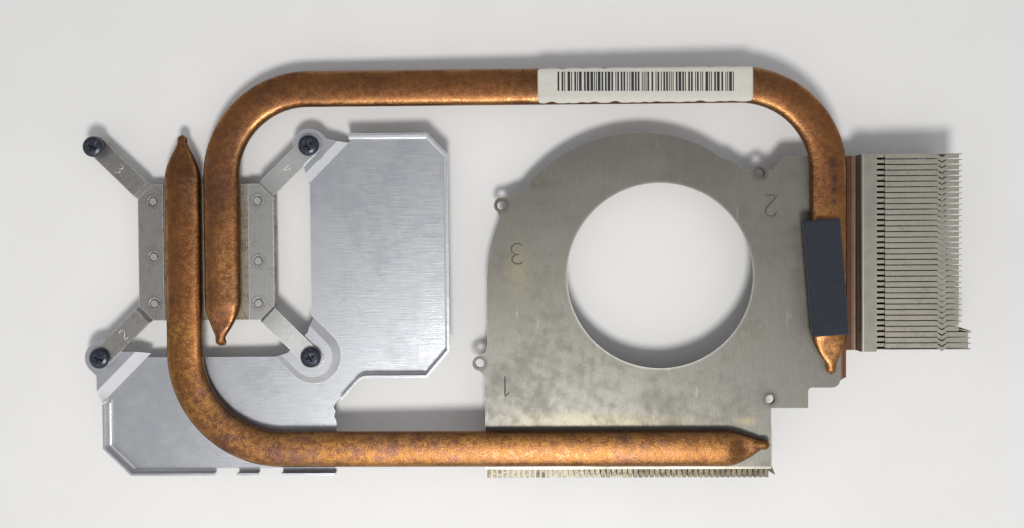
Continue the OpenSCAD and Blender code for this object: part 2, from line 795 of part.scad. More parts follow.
// Foam strip stuck askew on the upper pipe
module foam_pad() {
    color("darkslateblue") translate([right_x - 1.7, upper_end_y + 26.6, pipe_top]) rotate(pad_turn)
        translate([-pad_w / 2, -pad_l / 2, 0]) cube([pad_w, pad_l, pad_t]);
}

// Label stuck on the flat of the upper pipe's long run
module paper_label() {
    color("whitesmoke") translate([label_x - label_l / 2, upper_run_y - label_w / 2, pipe_top])
        cube([label_l, label_w, label_t]);
}

cold_plate();
left_bracket();
right_bracket();
lower_heat_pipe();
upper_heat_pipe();
spreader_plate();
fan_cover();
tall_fin_stack();
bent_fin();
long_fins();
short_fin_stack();
end_fin();
screw_top_left();
screw_top_right();
screw_bottom_left();
screw_bottom_right();
ring_top_left();
ring_top_right();
ring_bottom_left();
ring_bottom_right();
foam_pad();
paper_label();
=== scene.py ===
import math
import random

import bmesh
import bpy
from mathutils import Matrix, Vector, noise


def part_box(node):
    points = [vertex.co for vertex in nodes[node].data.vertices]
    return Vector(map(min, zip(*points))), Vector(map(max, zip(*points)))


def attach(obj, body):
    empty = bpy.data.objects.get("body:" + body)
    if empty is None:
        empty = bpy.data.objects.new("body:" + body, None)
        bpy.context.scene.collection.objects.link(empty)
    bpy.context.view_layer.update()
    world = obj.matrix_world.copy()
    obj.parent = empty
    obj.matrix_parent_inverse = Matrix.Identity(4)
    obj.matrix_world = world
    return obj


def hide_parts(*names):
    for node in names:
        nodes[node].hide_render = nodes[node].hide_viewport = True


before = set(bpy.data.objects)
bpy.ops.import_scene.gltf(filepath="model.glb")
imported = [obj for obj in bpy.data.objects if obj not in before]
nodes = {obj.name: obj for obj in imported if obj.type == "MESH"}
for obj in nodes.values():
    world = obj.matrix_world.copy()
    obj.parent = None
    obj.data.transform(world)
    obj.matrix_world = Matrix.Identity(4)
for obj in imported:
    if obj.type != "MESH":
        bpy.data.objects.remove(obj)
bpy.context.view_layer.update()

# The setting: the heatsink lies on a pale table and is looked at from almost straight above. It
# rests on the tip of the raised screw and on one bottom corner of each fin stack, so the table
# is tilted a little to the part's own frame. The pieces are drawn in millimetres, times MM.
MM = 0.001
SEAT_HEIGHT = 3.6
CAMERA_DISTANCE = 0.300
CAMERA_LEAN_X = math.radians(1.3)
CAMERA_LEAN_Y = math.radians(1.2)
CAMERA_ROLL = math.radians(0.4)
CAMERA_SENSOR = 36.0
CAMERA_LENS = CAMERA_SENSOR * 1089 / 1024
VIEW_CENTRE = Vector((0.084572, -0.003802, 0.0))
TABLE_REACH = 6.0
TABLE_GAP = 0.00005
TABLE_SHADE = (0.705, 0.700, 0.690)
TABLE_PALE = (0.735, 0.730, 0.722)
ROOM_DARK = (0.42, 0.43, 0.46)
ROOM_LIGHT = (1.0, 1.0, 1.0)
ROOM_STRENGTH = 0.72
LAMP_PLACE = Vector((0.100, -0.235, 0.52))
LAMP_AIM = Vector((0.10, -0.01, 0.0))
LAMP_SIZE = 0.12
LAMP_WATTS = 2.15
LAMP_COLOUR = (1.0, 0.985, 0.96)

normal = Vector((-math.tan(CAMERA_LEAN_X), -math.tan(CAMERA_LEAN_Y), 1.0)).normalized()
across = Vector((math.cos(CAMERA_ROLL), math.sin(CAMERA_ROLL), 0.0))
across = (across - normal * across.dot(normal)).normalized()
camera_to_part = Matrix((across, normal.cross(across), normal))
eye = camera_to_part @ Vector((0.0, 0.0, CAMERA_DISTANCE)) + VIEW_CENTRE
eye.z += SEAT_HEIGHT * MM
camera_data = bpy.data.cameras.new("camera")
camera_data.lens = CAMERA_LENS
camera_data.sensor_width = CAMERA_SENSOR
camera_data.clip_start = 0.01
camera_data.clip_end = 20.0
camera = bpy.data.objects.new("camera", camera_data)
bpy.context.scene.collection.objects.link(camera)
camera.matrix_world = Matrix.Translation(eye) @ camera_to_part.to_4x4()
bpy.context.scene.camera = camera
bpy.context.scene.view_settings.view_transform = "Standard"


def add_node(tree, kind, **settings):
    """A new node. A setting with a capital first letter is an input, any other a property."""
    made = tree.nodes.new(kind)
    for key, value in settings.items():
        if key[0].isupper():
            made.inputs[key.replace("_", " ")].default_value = value
        else:
            setattr(made, key, value)
    return made


def wire(tree, *pairs):
    """Links each output to the input that follows it."""
    for output, into in pairs:
        tree.links.new(output, into)


def calc(tree, operation, first, second):
    """A value and a number, or two values, put together by a Math node."""
    made = add_node(tree, "ShaderNodeMath", operation=operation)
    wire(tree, (first, made.inputs[0]))
    if isinstance(second, float):
        made.inputs[1].default_value = second
    else:
        wire(tree, (second, made.inputs[1]))
    return made.outputs[0]


def ramp(tree, value, **ends):
    """A value brought from one range to another."""
    made = add_node(tree, "ShaderNodeMapRange", **ends)
    wire(tree, (value, made.inputs["Value"]))
    return made.outputs["Result"]


def mix(tree, share, first, second):
    """Two colours mixed by a mask. Each is a linear colour or the output of a node."""
    made = add_node(tree, "ShaderNodeMix", data_type="RGBA")
    wire(tree, (share, made.inputs["Factor"]))
    colour_inputs = [socket for socket in made.inputs if socket.type == "RGBA"]
    for socket, colour in zip(colour_inputs, (first, second)):
        if isinstance(colour, tuple):
            socket.default_value = colour + (1.0,)
        else:
            wire(tree, (colour, socket))
    return [socket for socket in made.outputs if socket.type == "RGBA"][0]


def make_group(name, output, **inputs):
    """An empty node group that takes a Vector and the named values and puts out one value."""
    group = bpy.data.node_groups.new(name, "ShaderNodeTree")
    group.interface.new_socket("Vector", in_out="INPUT", socket_type="NodeSocketVector")
    for key, value in inputs.items():
        kind = "NodeSocketVector" if isinstance(value, tuple) else "NodeSocketFloat"
        made = group.interface.new_socket(key.replace("_", " "), in_out="INPUT", socket_type=kind)
        made.default_value = value
    group.interface.new_socket(output, in_out="OUTPUT", socket_type="NodeSocketFloat")
    return group, group.nodes.new("NodeGroupInput"), group.nodes.new("NodeGroupOutput")


# Blotches: a slow noise with a fine one over it, as a mask from 0 to 1
blotches, given, result = make_group(
    "blotches", "Mask", Size=0.2, Fine_Size=1.5, Fine_Share=0.4, Low=0.35, High=0.65)
slow = add_node(blotches, "ShaderNodeTexNoise", Detail=4.0, Roughness=0.6)
fine = add_node(blotches, "ShaderNodeTexNoise", Detail=3.0, Roughness=0.6)
blend = add_node(blotches, "ShaderNodeMix", data_type="FLOAT")
spread = add_node(blotches, "ShaderNodeMapRange", interpolation_type="SMOOTHSTEP")
wire(blotches,
     (given.outputs["Vector"], slow.inputs["Vector"]),
     (given.outputs["Size"], slow.inputs["Scale"]),
     (given.outputs["Vector"], fine.inputs["Vector"]),
     (given.outputs["Fine Size"], fine.inputs["Scale"]),
     (given.outputs["Fine Share"], blend.inputs["Factor"]),
     (slow.outputs["Fac"], blend.inputs["A"]),
     (fine.outputs["Fac"], blend.inputs["B"]),
     (blend.outputs["Result"], spread.inputs["Value"]),
     (given.outputs["Low"], spread.inputs["From Min"]),
     (given.outputs["High"], spread.inputs["From Max"]),
     (spread.outputs["Result"], result.inputs["Mask"]))


class Finish:
    """A material in the making: its nodes and shader, and the tone laid on it so far."""

    def __init__(self, name, metallic, roughness, tone):
        self.material = bpy.data.materials.new(name)
        self.material.use_nodes = True
        self.nodes = self.material.node_tree.nodes
        self.links = self.material.node_tree.links
        self.shader = self.nodes["Principled BSDF"]
        self.shader.inputs["Metallic"].default_value = metallic
        self.shader.inputs["Roughness"].default_value = roughness
        self.tone = tone
        place = add_node(self, "ShaderNodeTexCoord")
        in_millimetres = add_node(self, "ShaderNodeVectorMath", operation="SCALE", Scale=1000.0)
        wire(self, (place.outputs["Object"], in_millimetres.inputs[0]))
        self.place = in_millimetres.outputs["Vector"]


def mask(finish, group, vector=None, **values):
    """Puts a node group into a finish, with its own values, and returns its output."""
    made = add_node(finish, "ShaderNodeGroup", node_tree=group, **values)
    wire(finish, (finish.place if vector is None else vector, made.inputs["Vector"]))
    return made.outputs[0]


def lay(finish, where, colour, share=1.0):
    """Lays a colour over the tone so far, where a mask says, at the given share."""
    if share < 1.0:
        where = calc(finish, "MULTIPLY", where, share)
    finish.tone = mix(finish, where, finish.tone, colour)
    wire(finish, (finish.tone, finish.shader.inputs["Base Color"]))


def emboss(finish, height, strength, distance):
    """Bump from a height value."""
    bump = add_node(finish, "ShaderNodeBump", Strength=strength, Distance=distance)
    wire(finish, (height, bump.inputs["Height"]),
         (bump.outputs["Normal"], finish.shader.inputs["Normal"]))


def mesh_from(bm, name, closed=True, smooth=lambda rise: True):
    """The built faces as a mesh. A closed body's faces are turned outward. smooth says by
    how far a face's normal rises whether it is shaded smooth."""
    if closed:
        bmesh.ops.recalc_face_normals(bm, faces=bm.faces)
    mesh = bpy.data.meshes.new(name)
    bm.to_mesh(mesh)
    bm.free()
    for face in mesh.polygons:
        face.use_smooth = smooth(abs(face.normal.z))
    return mesh


screw_low, screw_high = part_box("screw_top_left")
short_low, short_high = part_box("short_fin_stack")
tall_low, tall_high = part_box("tall_fin_stack")
rest_screw = Vector(((screw_low.x + screw_high.x) / 2, (screw_low.y + screw_high.y) / 2,
                     screw_low.z))
rest_short = Vector((short_low.x, short_high.y, short_low.z))
rest_tall = Vector((tall_low.x, tall_high.y, tall_low.z))
table_up = (rest_short - rest_screw).cross(rest_tall - rest_screw).normalized()
if table_up.z < 0:
    table_up = -table_up

bm = bmesh.new()
bmesh.ops.create_grid(bm, x_segments=8, y_segments=8, size=TABLE_REACH)
table_mesh = mesh_from(bm, "table", closed=False, smooth=lambda rise: False)
table = bpy.data.objects.new("table", table_mesh)
bpy.context.scene.collection.objects.link(table)
table.matrix_world = (
    Matrix.Translation(rest_screw - table_up * TABLE_GAP)
    @ table_up.to_track_quat("Z", "Y").to_matrix().to_4x4())
pale_table = Finish("pale_table", 0.0, 0.55, TABLE_SHADE)
lay(pale_table, mask(pale_table, blotches, Size=0.008, Fine_Size=0.05, Fine_Share=0.3), TABLE_PALE)
speck = mask(pale_table, blotches, Size=2.0, Fine_Size=6.0, Fine_Share=0.5)
emboss(pale_table, speck, 0.05, 0.0002)
table_mesh.materials.append(pale_table.material)

world = bpy.data.worlds.new("room")
bpy.context.scene.world = world
world.use_nodes = True
room = world.node_tree
direction = add_node(room, "ShaderNodeTexCoord")
direction_parts = add_node(room, "ShaderNodeSeparateXYZ")
wire(room, (direction.outputs["Generated"], direction_parts.inputs["Vector"]))
to_front = ramp(room, direction_parts.outputs["Y"],
                From_Min=-0.9, From_Max=0.9, To_Min=1.0, To_Max=0.0)
background = room.nodes["Background"]
wire(room, (mix(room, to_front, ROOM_DARK, ROOM_LIGHT), background.inputs["Color"]))
background.inputs["Strength"].default_value = ROOM_STRENGTH

lamp_data = bpy.data.lights.new("key_lamp", "AREA")
lamp_data.shape = "DISK"
lamp_data.size = LAMP_SIZE
lamp_data.energy = LAMP_WATTS
lamp_data.color = LAMP_COLOUR
lamp = bpy.data.objects.new("key_lamp", lamp_data)
lamp.location = LAMP_PLACE
lamp.rotation_euler = (LAMP_AIM - LAMP_PLACE).to_track_quat("-Z", "Y").to_euler()
bpy.context.scene.collection.objects.link(lamp)

# The cold plate: a thick plate with cut corners that presses on the processor. It is plated
# metal with a dull greenish grey skin; the six round bosses that hold the brackets are staked
# out of it.
PLATE_GREY = (0.290, 0.255, 0.185)
PLATE_SOLDER = (0.130, 0.085, 0.045)
PLATE_LINES = (0.38, 0.365, 0.32)
PLATE_BOSS = (0.36, 0.355, 0.34)
PLATE_EDGE = (0.70, 0.69, 0.66)
UP = (0.0, 0.0, 1.0)

# Grain: noise stretched along one direction, as rolled or brushed sheet shows
grain, given, result = make_group("grain", "Value", Stretch=(0.15, 4.0, 4.0), Low=0.3, High=0.7)
squeeze = add_node(grain, "ShaderNodeVectorMath", operation="MULTIPLY")
streak = add_node(grain, "ShaderNodeTexNoise", Scale=1.0, Detail=3.0, Roughness=0.6)
spread = add_node(grain, "ShaderNodeMapRange")
wire(grain,
     (given.outputs["Vector"], squeeze.inputs[0]),
     (given.outputs["Stretch"], squeeze.inputs[1]),
     (squeeze.outputs["Vector"], streak.inputs["Vector"]),
     (streak.outputs["Fac"], spread.inputs["Value"]),
     (given.outputs["Low"], spread.inputs["From Min"]),
     (given.outputs["High"], spread.inputs["From Max"]),
     (spread.outputs["Result"], result.inputs["Value"]))

# Band: 1 between two places along an axis, with soft ends
band, given, result = make_group("band", "Mask", Axis=(1.0, 0.0, 0.0), Start=0.0, End=1.0, Soft=0.5)
along_axis = add_node(band, "ShaderNodeVectorMath", operation="DOT_PRODUCT")
wire(band, (given.outputs["Vector"], along_axis.inputs[0]),
     (given.outputs["Axis"], along_axis.inputs[1]))
ends = []
for end, inward in (("Start", "ADD"), ("End", "SUBTRACT")):
    rise = add_node(band, "ShaderNodeMapRange")
    wire(band,
         (along_axis.outputs["Value"], rise.inputs["Value"]),
         (given.outputs[end], rise.inputs["From Min"]),
         (calc(band, inward, given.outputs[end], given.outputs["Soft"]), rise.inputs["From Max"]))
    ends.append(rise.outputs["Result"])
wire(band, (calc(band, "MULTIPLY", *ends), result.inputs["Mask"]))

# Edge wear: 1 where the surface turns sharply, broken up by a little noise
edge_wear, given, result = make_group("edge_wear", "Mask", Width=0.0002)
soft = add_node(edge_wear, "ShaderNodeBevel", samples=4)
hard = add_node(edge_wear, "ShaderNodeNewGeometry")
same = add_node(edge_wear, "ShaderNodeVectorMath", operation="DOT_PRODUCT")
broken = add_node(edge_wear, "ShaderNodeTexNoise", Scale=0.9, Detail=3.0, Roughness=0.6)
wire(edge_wear,
     (given.outputs["Width"], soft.inputs["Radius"]),
     (soft.outputs["Normal"], same.inputs[0]),
     (hard.outputs["True Normal"], same.inputs[1]),
     (given.outputs["Vector"], broken.inputs["Vector"]))
turned = ramp(edge_wear, same.outputs["Value"],
              From_Min=0.998, From_Max=0.88, To_Min=0.0, To_Max=1.0)
left_over = ramp(edge_wear, broken.outputs["Fac"],
                 From_Min=0.35, From_Max=0.6, To_Min=0.25, To_Max=1.0)
wire(edge_wear, (calc(edge_wear, "MULTIPLY", turned, left_over), result.inputs["Mask"]))


def vary_roughness(finish, where, low, high):
    """Roughness between two values, by a mask."""
    wire(finish, (ramp(finish, where, To_Min=low, To_Max=high), finish.shader.inputs["Roughness"]))


def paint(node, finish):
    """Gives a CAD node its finish."""
    nodes[node].data.materials.clear()
    nodes[node].data.materials.append(finish.material)


plate = Finish("plated_plate", 0.75, 0.5, PLATE_GREY)
stain = mask(plate, blotches, Size=0.35, Fine_Size=2.0, Fine_Share=0.4, Low=0.45, High=0.62)
lines = mask(plate, grain, Stretch=(5.0, 0.3, 1.0))
boss_tops = mask(plate, band, Axis=UP, Start=3.9, End=9.0, Soft=0.2)
lay(plate, stain, PLATE_SOLDER)
lay(plate, lines, PLATE_LINES, 0.35)
lay(plate, boss_tops, PLATE_BOSS, 0.9)
lay(plate, mask(plate, edge_wear, Width=0.0003), PLATE_EDGE, 0.7)
vary_roughness(plate, stain, 0.42, 0.62)
emboss(plate, lines, 0.12, 0.0001)
paint("cold_plate", plate)

# The brackets: two blanked steel strips with bent arms, staked to the cold plate. The left one
# has gone darker than the right one; both show fine rolling lines and bright cut edges, and
# each arm has its screw's order stamped into it. The sloped faces of the bends, and the right
# bracket's arm ends, carry painted highlights.
BRACKET_STEEL = {"left": (0.275, 0.262, 0.247), "right": (0.335, 0.333, 0.325)}
BRACKET_DIRT = {"left": (0.13, 0.12, 0.105), "right": (0.19, 0.185, 0.175)}
BRACKET_LINES = (0.46, 0.455, 0.44)
BRACKET_ARM_HIGHLIGHT = (0.56, 0.56, 0.555)
BRACKET_FOLD_HIGHLIGHT = (0.62, 0.62, 0.61)
BRACKET_EDGE = (0.88, 0.87, 0.85)
BOSSES = {"left": [(-14.5, 14.2), (-14.5, -1.2), (-14.5, -14.2)],
          "right": [(14.5, 14.2), (14.5, -2.5), (14.5, -14.2)]}
BOSS_SHADOW = (0.035, 0.033, 0.030)
BOSS_SHADOW_RADIUS = 2.7
# Painted highlights on the right bracket's arm ends: place x, y and share.
ARM_HIGHLIGHTS = {"left": [], "right": [(24.0, 24.0, 0.55), (24.0, -24.0, 0.7)]}
ARM_HIGHLIGHT_RADIUS = 12.0

# Spot: a soft mark round a place on the part
spot, given, result = make_group(
    "spot", "Mask", Place=(0.0, 0.0, 0.0), Shape=(1.0, 1.0, 0.0), Radius=1.0)
offset = add_node(spot, "ShaderNodeVectorMath", operation="SUBTRACT")
shape = add_node(spot, "ShaderNodeVectorMath", operation="MULTIPLY")
reach = add_node(spot, "ShaderNodeVectorMath", operation="LENGTH")
fall = add_node(spot, "ShaderNodeMapRange", interpolation_type="SMOOTHSTEP",
                From_Min=0.0, To_Min=1.0, To_Max=0.0)
wire(spot,
     (given.outputs["Vector"], offset.inputs[0]),
     (given.outputs["Place"], offset.inputs[1]),
     (offset.outputs["Vector"], shape.inputs[0]),
     (given.outputs["Shape"], shape.inputs[1]),
     (shape.outputs["Vector"], reach.inputs[0]),
     (reach.outputs["Value"], fall.inputs["Value"]),
     (given.outputs["Radius"], fall.inputs["From Max"]),
     (fall.outputs["Result"], result.inputs["Mask"]))


def facing_up(finish):
    """How far the surface faces up: 1 where it is level, 0 where it stands."""
    surface = add_node(finish, "ShaderNodeNewGeometry")
    parts = add_node(finish, "ShaderNodeSeparateXYZ")
    wire(finish, (surface.outputs["True Normal"], parts.inputs["Vector"]))
    return parts.outputs["Z"]


for side in ("left", "right"):
    steel = Finish(side + "_bracket_steel", 0.85, 0.42, BRACKET_STEEL[side])
    stain = mask(steel, blotches, Size=0.25, Fine_Size=1.6, Fine_Share=0.5, Low=0.40, High=0.68)
    lines = mask(steel, grain, Stretch=(5.5, 0.35, 1.0), Low=0.25, High=0.75)
    lay(steel, stain, BRACKET_DIRT[side])
    lay(steel, lines, BRACKET_LINES, 0.3)
    for x, y in BOSSES[side]:
        lay(steel, mask(steel, spot, Place=(x, y, 0), Radius=BOSS_SHADOW_RADIUS), BOSS_SHADOW)
    for x, y, share in ARM_HIGHLIGHTS[side]:
        arm_highlight = mask(steel, spot, Place=(x, y, 0), Radius=ARM_HIGHLIGHT_RADIUS)
        lay(steel, arm_highlight, BRACKET_ARM_HIGHLIGHT, share)
    # Painted highlight: the sloped faces of the bends are laid bright.
    fold_highlight = mask(steel, band, facing_up(steel), Start=0.2, End=0.96, Soft=0.05)
    lay(steel, fold_highlight, BRACKET_FOLD_HIGHLIGHT, 0.8)
    lay(steel, mask(steel, edge_wear, Width=0.00034), BRACKET_EDGE, 0.9)
    vary_roughness(steel, stain, 0.34, 0.52)
    emboss(steel, lines, 0.15, 0.0001)
    paint(side + "_bracket", steel)

# The figures 1 to 4, drawn as strokes in a box of 1 by 1.6
FIGURES = {
    "1": [[(0.15, 1.25), (0.5, 1.6), (0.5, 0.0)]],
    "2": [[(0.05, 1.25), (0.2, 1.52), (0.5, 1.6), (0.8, 1.5), (0.92, 1.2), (0.8, 0.9), (0.4, 0.5),
           (0.05, 0.0), (0.95, 0.0)]],
    "3": [[(0.05, 1.4), (0.3, 1.58), (0.6, 1.58), (0.88, 1.4), (0.88, 1.08), (0.6, 0.86),
           (0.38, 0.86)],
          [(0.6, 0.86), (0.92, 0.66), (0.94, 0.3), (0.66, 0.04), (0.3, 0.02), (0.04, 0.2)]],
    "4": [[(0.72, 0.0), (0.72, 1.6), (0.04, 0.5), (0.98, 0.5)]],
}
FIGURE_MIDDLE = (0.5, 0.8)
FIGURE_STEP = 0.2
FIGURE_SUNK = 0.02
STROKE_SIDES = 7
STROKE_END = 0.35
ARM_FIGURES = [
    ("figure_on_top_left_arm", "3", (-23.4, 23.2), -42, "left_bracket_steel"),
    ("figure_on_top_right_arm", "4", (23.2, 23.0), 135, "right_bracket_steel"),
    ("figure_on_bottom_left_arm", "2", (-22.7, -22.5), 40, "left_bracket_steel"),
    ("figure_on_bottom_right_arm", "1", (23.6, -23.4), 135, "right_bracket_steel"),
]
ARM_FIGURE_SIZE = 1.7
ARM_BEAD = (0.32, 0.09)
ARM_STAMP_DARK = (0.40, 0.39, 0.38)
ARM_STAMP_BRIGHT = (0.60, 0.59, 0.57)


def join_rings(bm, rings, capped=True):
    """Skins a row of rings of points, and closes its two ends."""
    for a, b in zip(rings, rings[1:]):
        for k in range(len(a)):
            j = (k + 1) % len(a)
            bm.faces.new((a[k], a[j], b[j], b[k]))
    if capped:
        bm.faces.new(list(reversed(rings[0])))
        bm.faces.new(rings[-1])


def figure_mesh(name, figure, centre, size, turn, height, bead):
    """A figure as half-round beads along its strokes, turned in plan about its centre. bead
    is the width and height of a bead."""
    bm = bmesh.new()
    c, s = math.cos(math.radians(turn)), math.sin(math.radians(turn))
    for stroke in FIGURES[figure]:
        fine_stroke = []
        for (x0, y0), (x1, y1) in zip(stroke, stroke[1:]):
            steps = max(1, int(math.hypot(x1 - x0, y1 - y0) / FIGURE_STEP))
            fine_stroke += [(x0 + (x1 - x0) * i / steps, y0 + (y1 - y0) * i / steps)
                            for i in range(steps)]
        fine_stroke.append(stroke[-1])
        points = []
        for x, y in fine_stroke:
            x, y = (x - FIGURE_MIDDLE[0]) * size, (y - FIGURE_MIDDLE[1]) * size
            turned_x, turned_y = x * c - y * s, x * s + y * c
            points.append(Vector((centre[0] + turned_x, centre[1] + turned_y, height)) * MM)
        rings = []
        for i, point in enumerate(points):
            along = (points[min(i + 1, len(points) - 1)] - points[max(i - 1, 0)]).normalized()
            out = along.cross(Vector(UP)).normalized()
            full = STROKE_END if i in (0, len(points) - 1) else 1.0
            angles = [math.pi * k / (STROKE_SIDES - 1) for k in range(STROKE_SIDES)]
            rings.append([bm.verts.new(point + out * math.cos(q) * bead[0] * MM / 2 * full
                                       + Vector(UP) * math.sin(q) * bead[1] * MM * full)
                          for q in angles])
        join_rings(bm, rings)
    return mesh_from(bm, name)


def ride_root(mesh, finish):
    """Makes a piece of a mesh in the part's frame, on the part's only body."""
    mesh.materials.append(finish.material)
    piece = bpy.data.objects.new(mesh.name, mesh)
    bpy.context.scene.collection.objects.link(piece)
    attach(piece, "root")
    return piece


arm_stamp = Finish("stamped_figure_steel", 0.8, 0.45, ARM_STAMP_DARK)
lines = mask(arm_stamp, grain, Stretch=(4.0, 1.0, 1.0))
lay(arm_stamp, lines, ARM_STAMP_BRIGHT)
vary_roughness(arm_stamp, lines, 0.4, 0.55)
arm_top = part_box("left_bracket")[1].z / MM
for name, figure, centre, turn, slot in ARM_FIGURES:
    mesh = figure_mesh(name, figure, centre, ARM_FIGURE_SIZE,
                       turn, arm_top - FIGURE_SUNK, ARM_BEAD)
    ride_root(mesh, arm_stamp)

# The heat pipes: round copper tubes, flattened to a thick oval after bending and swaged shut at
# both ends. They have tarnished to brown, with purple patches, gold rubs along their edges that
# also stand in as a painted highlight, and small dents, and are soldered to the cold plate, the
# cover and the fins.
PIPE_WIDE = 9.88
PIPE_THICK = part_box("upper_heat_pipe")[1].z / MM - SEAT_HEIGHT
PIPE_MIDDLE = SEAT_HEIGHT + PIPE_THICK / 2
PIPE_SIDES = 44
PIPE_STEP = 0.8
PAIR_MIDDLE_X = -0.35
PAIR_GAP = 0.8
UPPER_START_Y = -25.8
UPPER_RUN_Y = 44.5
UPPER_RIGHT_X = 170.6
UPPER_BEND = 24.0
LOWER_RUN_Y = -54.4
LOWER_BEND = 27.0
TAPER = 9.6
NIB = 2.4
NIB_RADIUS = 1.42
NIB_THICK_SHARE = 0.92
NIB_ROUND = NIB * 0.62
CRIMP_PLACE, CRIMP_REACH = 3.1, 1.15
CRIMP_IN, CRIMP_DOWN = 0.10, 0.08
END_HOLLOW = 0.55
TOP_SUNK = 0.05
DENT, RIPPLE = 0.06, 0.025
RUB_AND_HIGHLIGHT_ANGLE, RUB_AND_HIGHLIGHT_WIDTH = 0.80, 0.15
LIP_STEPS, LIP_SIDES = 8, 8
LIP_CURL = math.pi * 1.15
LIP_THICK = 0.55
LIP_UP = 0.35
COPPER_GOLD_RUB_AND_HIGHLIGHT = (0.66, 0.35, 0.13)
COPPER_HEATED = (0.105, 0.050, 0.036)
COPPER_FLUX = (0.055, 0.035, 0.028)
LOWER_COPPER = {
    "brown": (0.205, 0.079, 0.027), "dark": (0.128, 0.052, 0.024), "gold": (0.40, 0.21, 0.055),
    "gold_share": 0.22, "worked": (0.5, 5.0, 1.0), "flux_spots": [],
    "gold_spots": [(-7.0, -20.5, 0.6, 0.35, 3.0), (2.0, -45.0, 0.3, 0.3, 5.0),
                   (60.0, -52.5, 0.05, 0.6, 2.2), (105.0, -53.0, 0.06, 0.6, 2.4),
                   (30.0, -54.0, 0.12, 0.7, 2.6)]}
UPPER_COPPER = {
    "brown": (0.228, 0.092, 0.033), "dark": (0.148, 0.062, 0.027), "gold": (0.42, 0.21, 0.070),
    "gold_share": 0.18, "worked": (0.9, 4.0, 1.0),
    "flux_spots": [(171.0, 22.6, 0.8, 0.5, 1.5), (171.5, 18.8, 0.8, 0.6, 1.3),
                   (171.5, 15.8, 0.8, 0.6, 1.2), (171.3, 12.5, 0.8, 0.7, 1.2)],
    "gold_spots": [(170.6, -28.0, 0.8, 0.5, 6.0), (171.5, 4.0, 0.7, 0.2, 3.5),
                   (5.0, -5.0, 0.5, 0.1, 2.0)]}
# The lower pipe's long run has stayed brighter than its upright leg
LOW_RUN_TOP, LOW_RUN_FULL = -12.0, -50.0
LOW_RUN_BROWN = (0.205, 0.086, 0.030)
LOW_RUN_GOLD = (0.370, 0.180, 0.042)
LOW_RUN_RED = (0.150, 0.064, 0.050)
LOW_RUN_PURPLE = (0.125, 0.062, 0.055)
LOW_RUN_RUB_AND_HIGHLIGHT = (0.52, 0.29, 0.12)
LOW_RUN_SHADE = (0.085, 0.038, 0.018)
ALONG_Y = (0.0, 1.0, 0.0)


def bend_path(corners, radii):
    """Points and directions along straight legs joined by round bends, in plan."""
    path = []
    here = corners[0]
    for i in range(1, len(corners)):
        corner = corners[i]
        ahead = (corner - corners[i - 1]).normalized()
        last = i == len(corners) - 1
        stop = corner
        if not last:
            after = (corners[i + 1] - corner).normalized()
            radius = radii[i - 1]
            turn = math.atan2(ahead.x * after.y - ahead.y * after.x, ahead.dot(after))
            stop = corner - ahead * radius * math.tan(abs(turn) / 2)
        length = (stop - here).length
        count = max(1, int(length / PIPE_STEP))
        path += [(here + ahead * length * k / count, ahead.copy()) for k in range(count)]
        if last:
            path.append((corner, ahead))
        else:
            centre = stop + Vector((-ahead.y, ahead.x)) * math.copysign(1, turn) * radius
            count = max(1, int(radius * abs(turn) / PIPE_STEP))
            for k in range(count):
                spin = Matrix.Rotation(turn * k / count, 2)
                path.append((centre + spin @ (stop - centre), spin @ ahead))
            here = centre + Matrix.Rotation(turn, 2) @ (stop - centre)
    return path


def end_shape(near, shift):
    """A pipe's section at a distance from its end: half its width, half its thickness, how
    hollow its top is, and how far it is pushed aside."""
    half_wide, half_thick, hollow, aside = PIPE_WIDE / 2, PIPE_THICK / 2, 0.0, 0.0
    if near < TAPER + NIB:
        u = min(1.0, (TAPER + NIB - near) / TAPER)
        closed = 0.35 * u * u * (3 - 2 * u) + 0.65 * u ** 1.9
        half_wide += (NIB_RADIUS - half_wide) * closed
        half_thick += (NIB_RADIUS * NIB_THICK_SHARE - half_thick) * closed
        crimp = math.exp(-((near - CRIMP_PLACE) / CRIMP_REACH) ** 2)
        half_wide -= CRIMP_IN * crimp
        half_thick -= CRIMP_DOWN * crimp
        hollow = END_HOLLOW * math.sin(math.pi * u) ** 2
        aside = shift * u * u
        round_end = math.sqrt(1 - (max(0.0, NIB_ROUND - near) / NIB_ROUND) ** 2)
        half_wide *= max(round_end, 0.08)
        half_thick *= max(round_end, 0.08)
    return half_wide, half_thick, hollow, aside


def add_curled_lip(bm, point, ahead, shift):
    """The thin end of a nib, curled over to one side at a pipe's first point."""
    left = Vector((-ahead.y, ahead.x))
    base = point + ahead * 1.3 + left * shift * 0.95
    rings = []
    for i in range(LIP_STEPS + 1):
        q = LIP_CURL * i / LIP_STEPS
        centre = base - ahead * (math.sin(q) + 0.1) - left * 0.675 * (1 - math.cos(q))
        thick = LIP_THICK * (1 - 0.35 * i / LIP_STEPS)
        ring = []
        for k in range(LIP_SIDES):
            r = 2 * math.pi * k / LIP_SIDES
            side = centre + left * thick * math.cos(r)
            height = PIPE_MIDDLE + LIP_UP + thick * math.sin(r)
            ring.append(bm.verts.new(Vector((side.x, side.y, height)) * MM))
        rings.append(ring)
    join_rings(bm, rings)


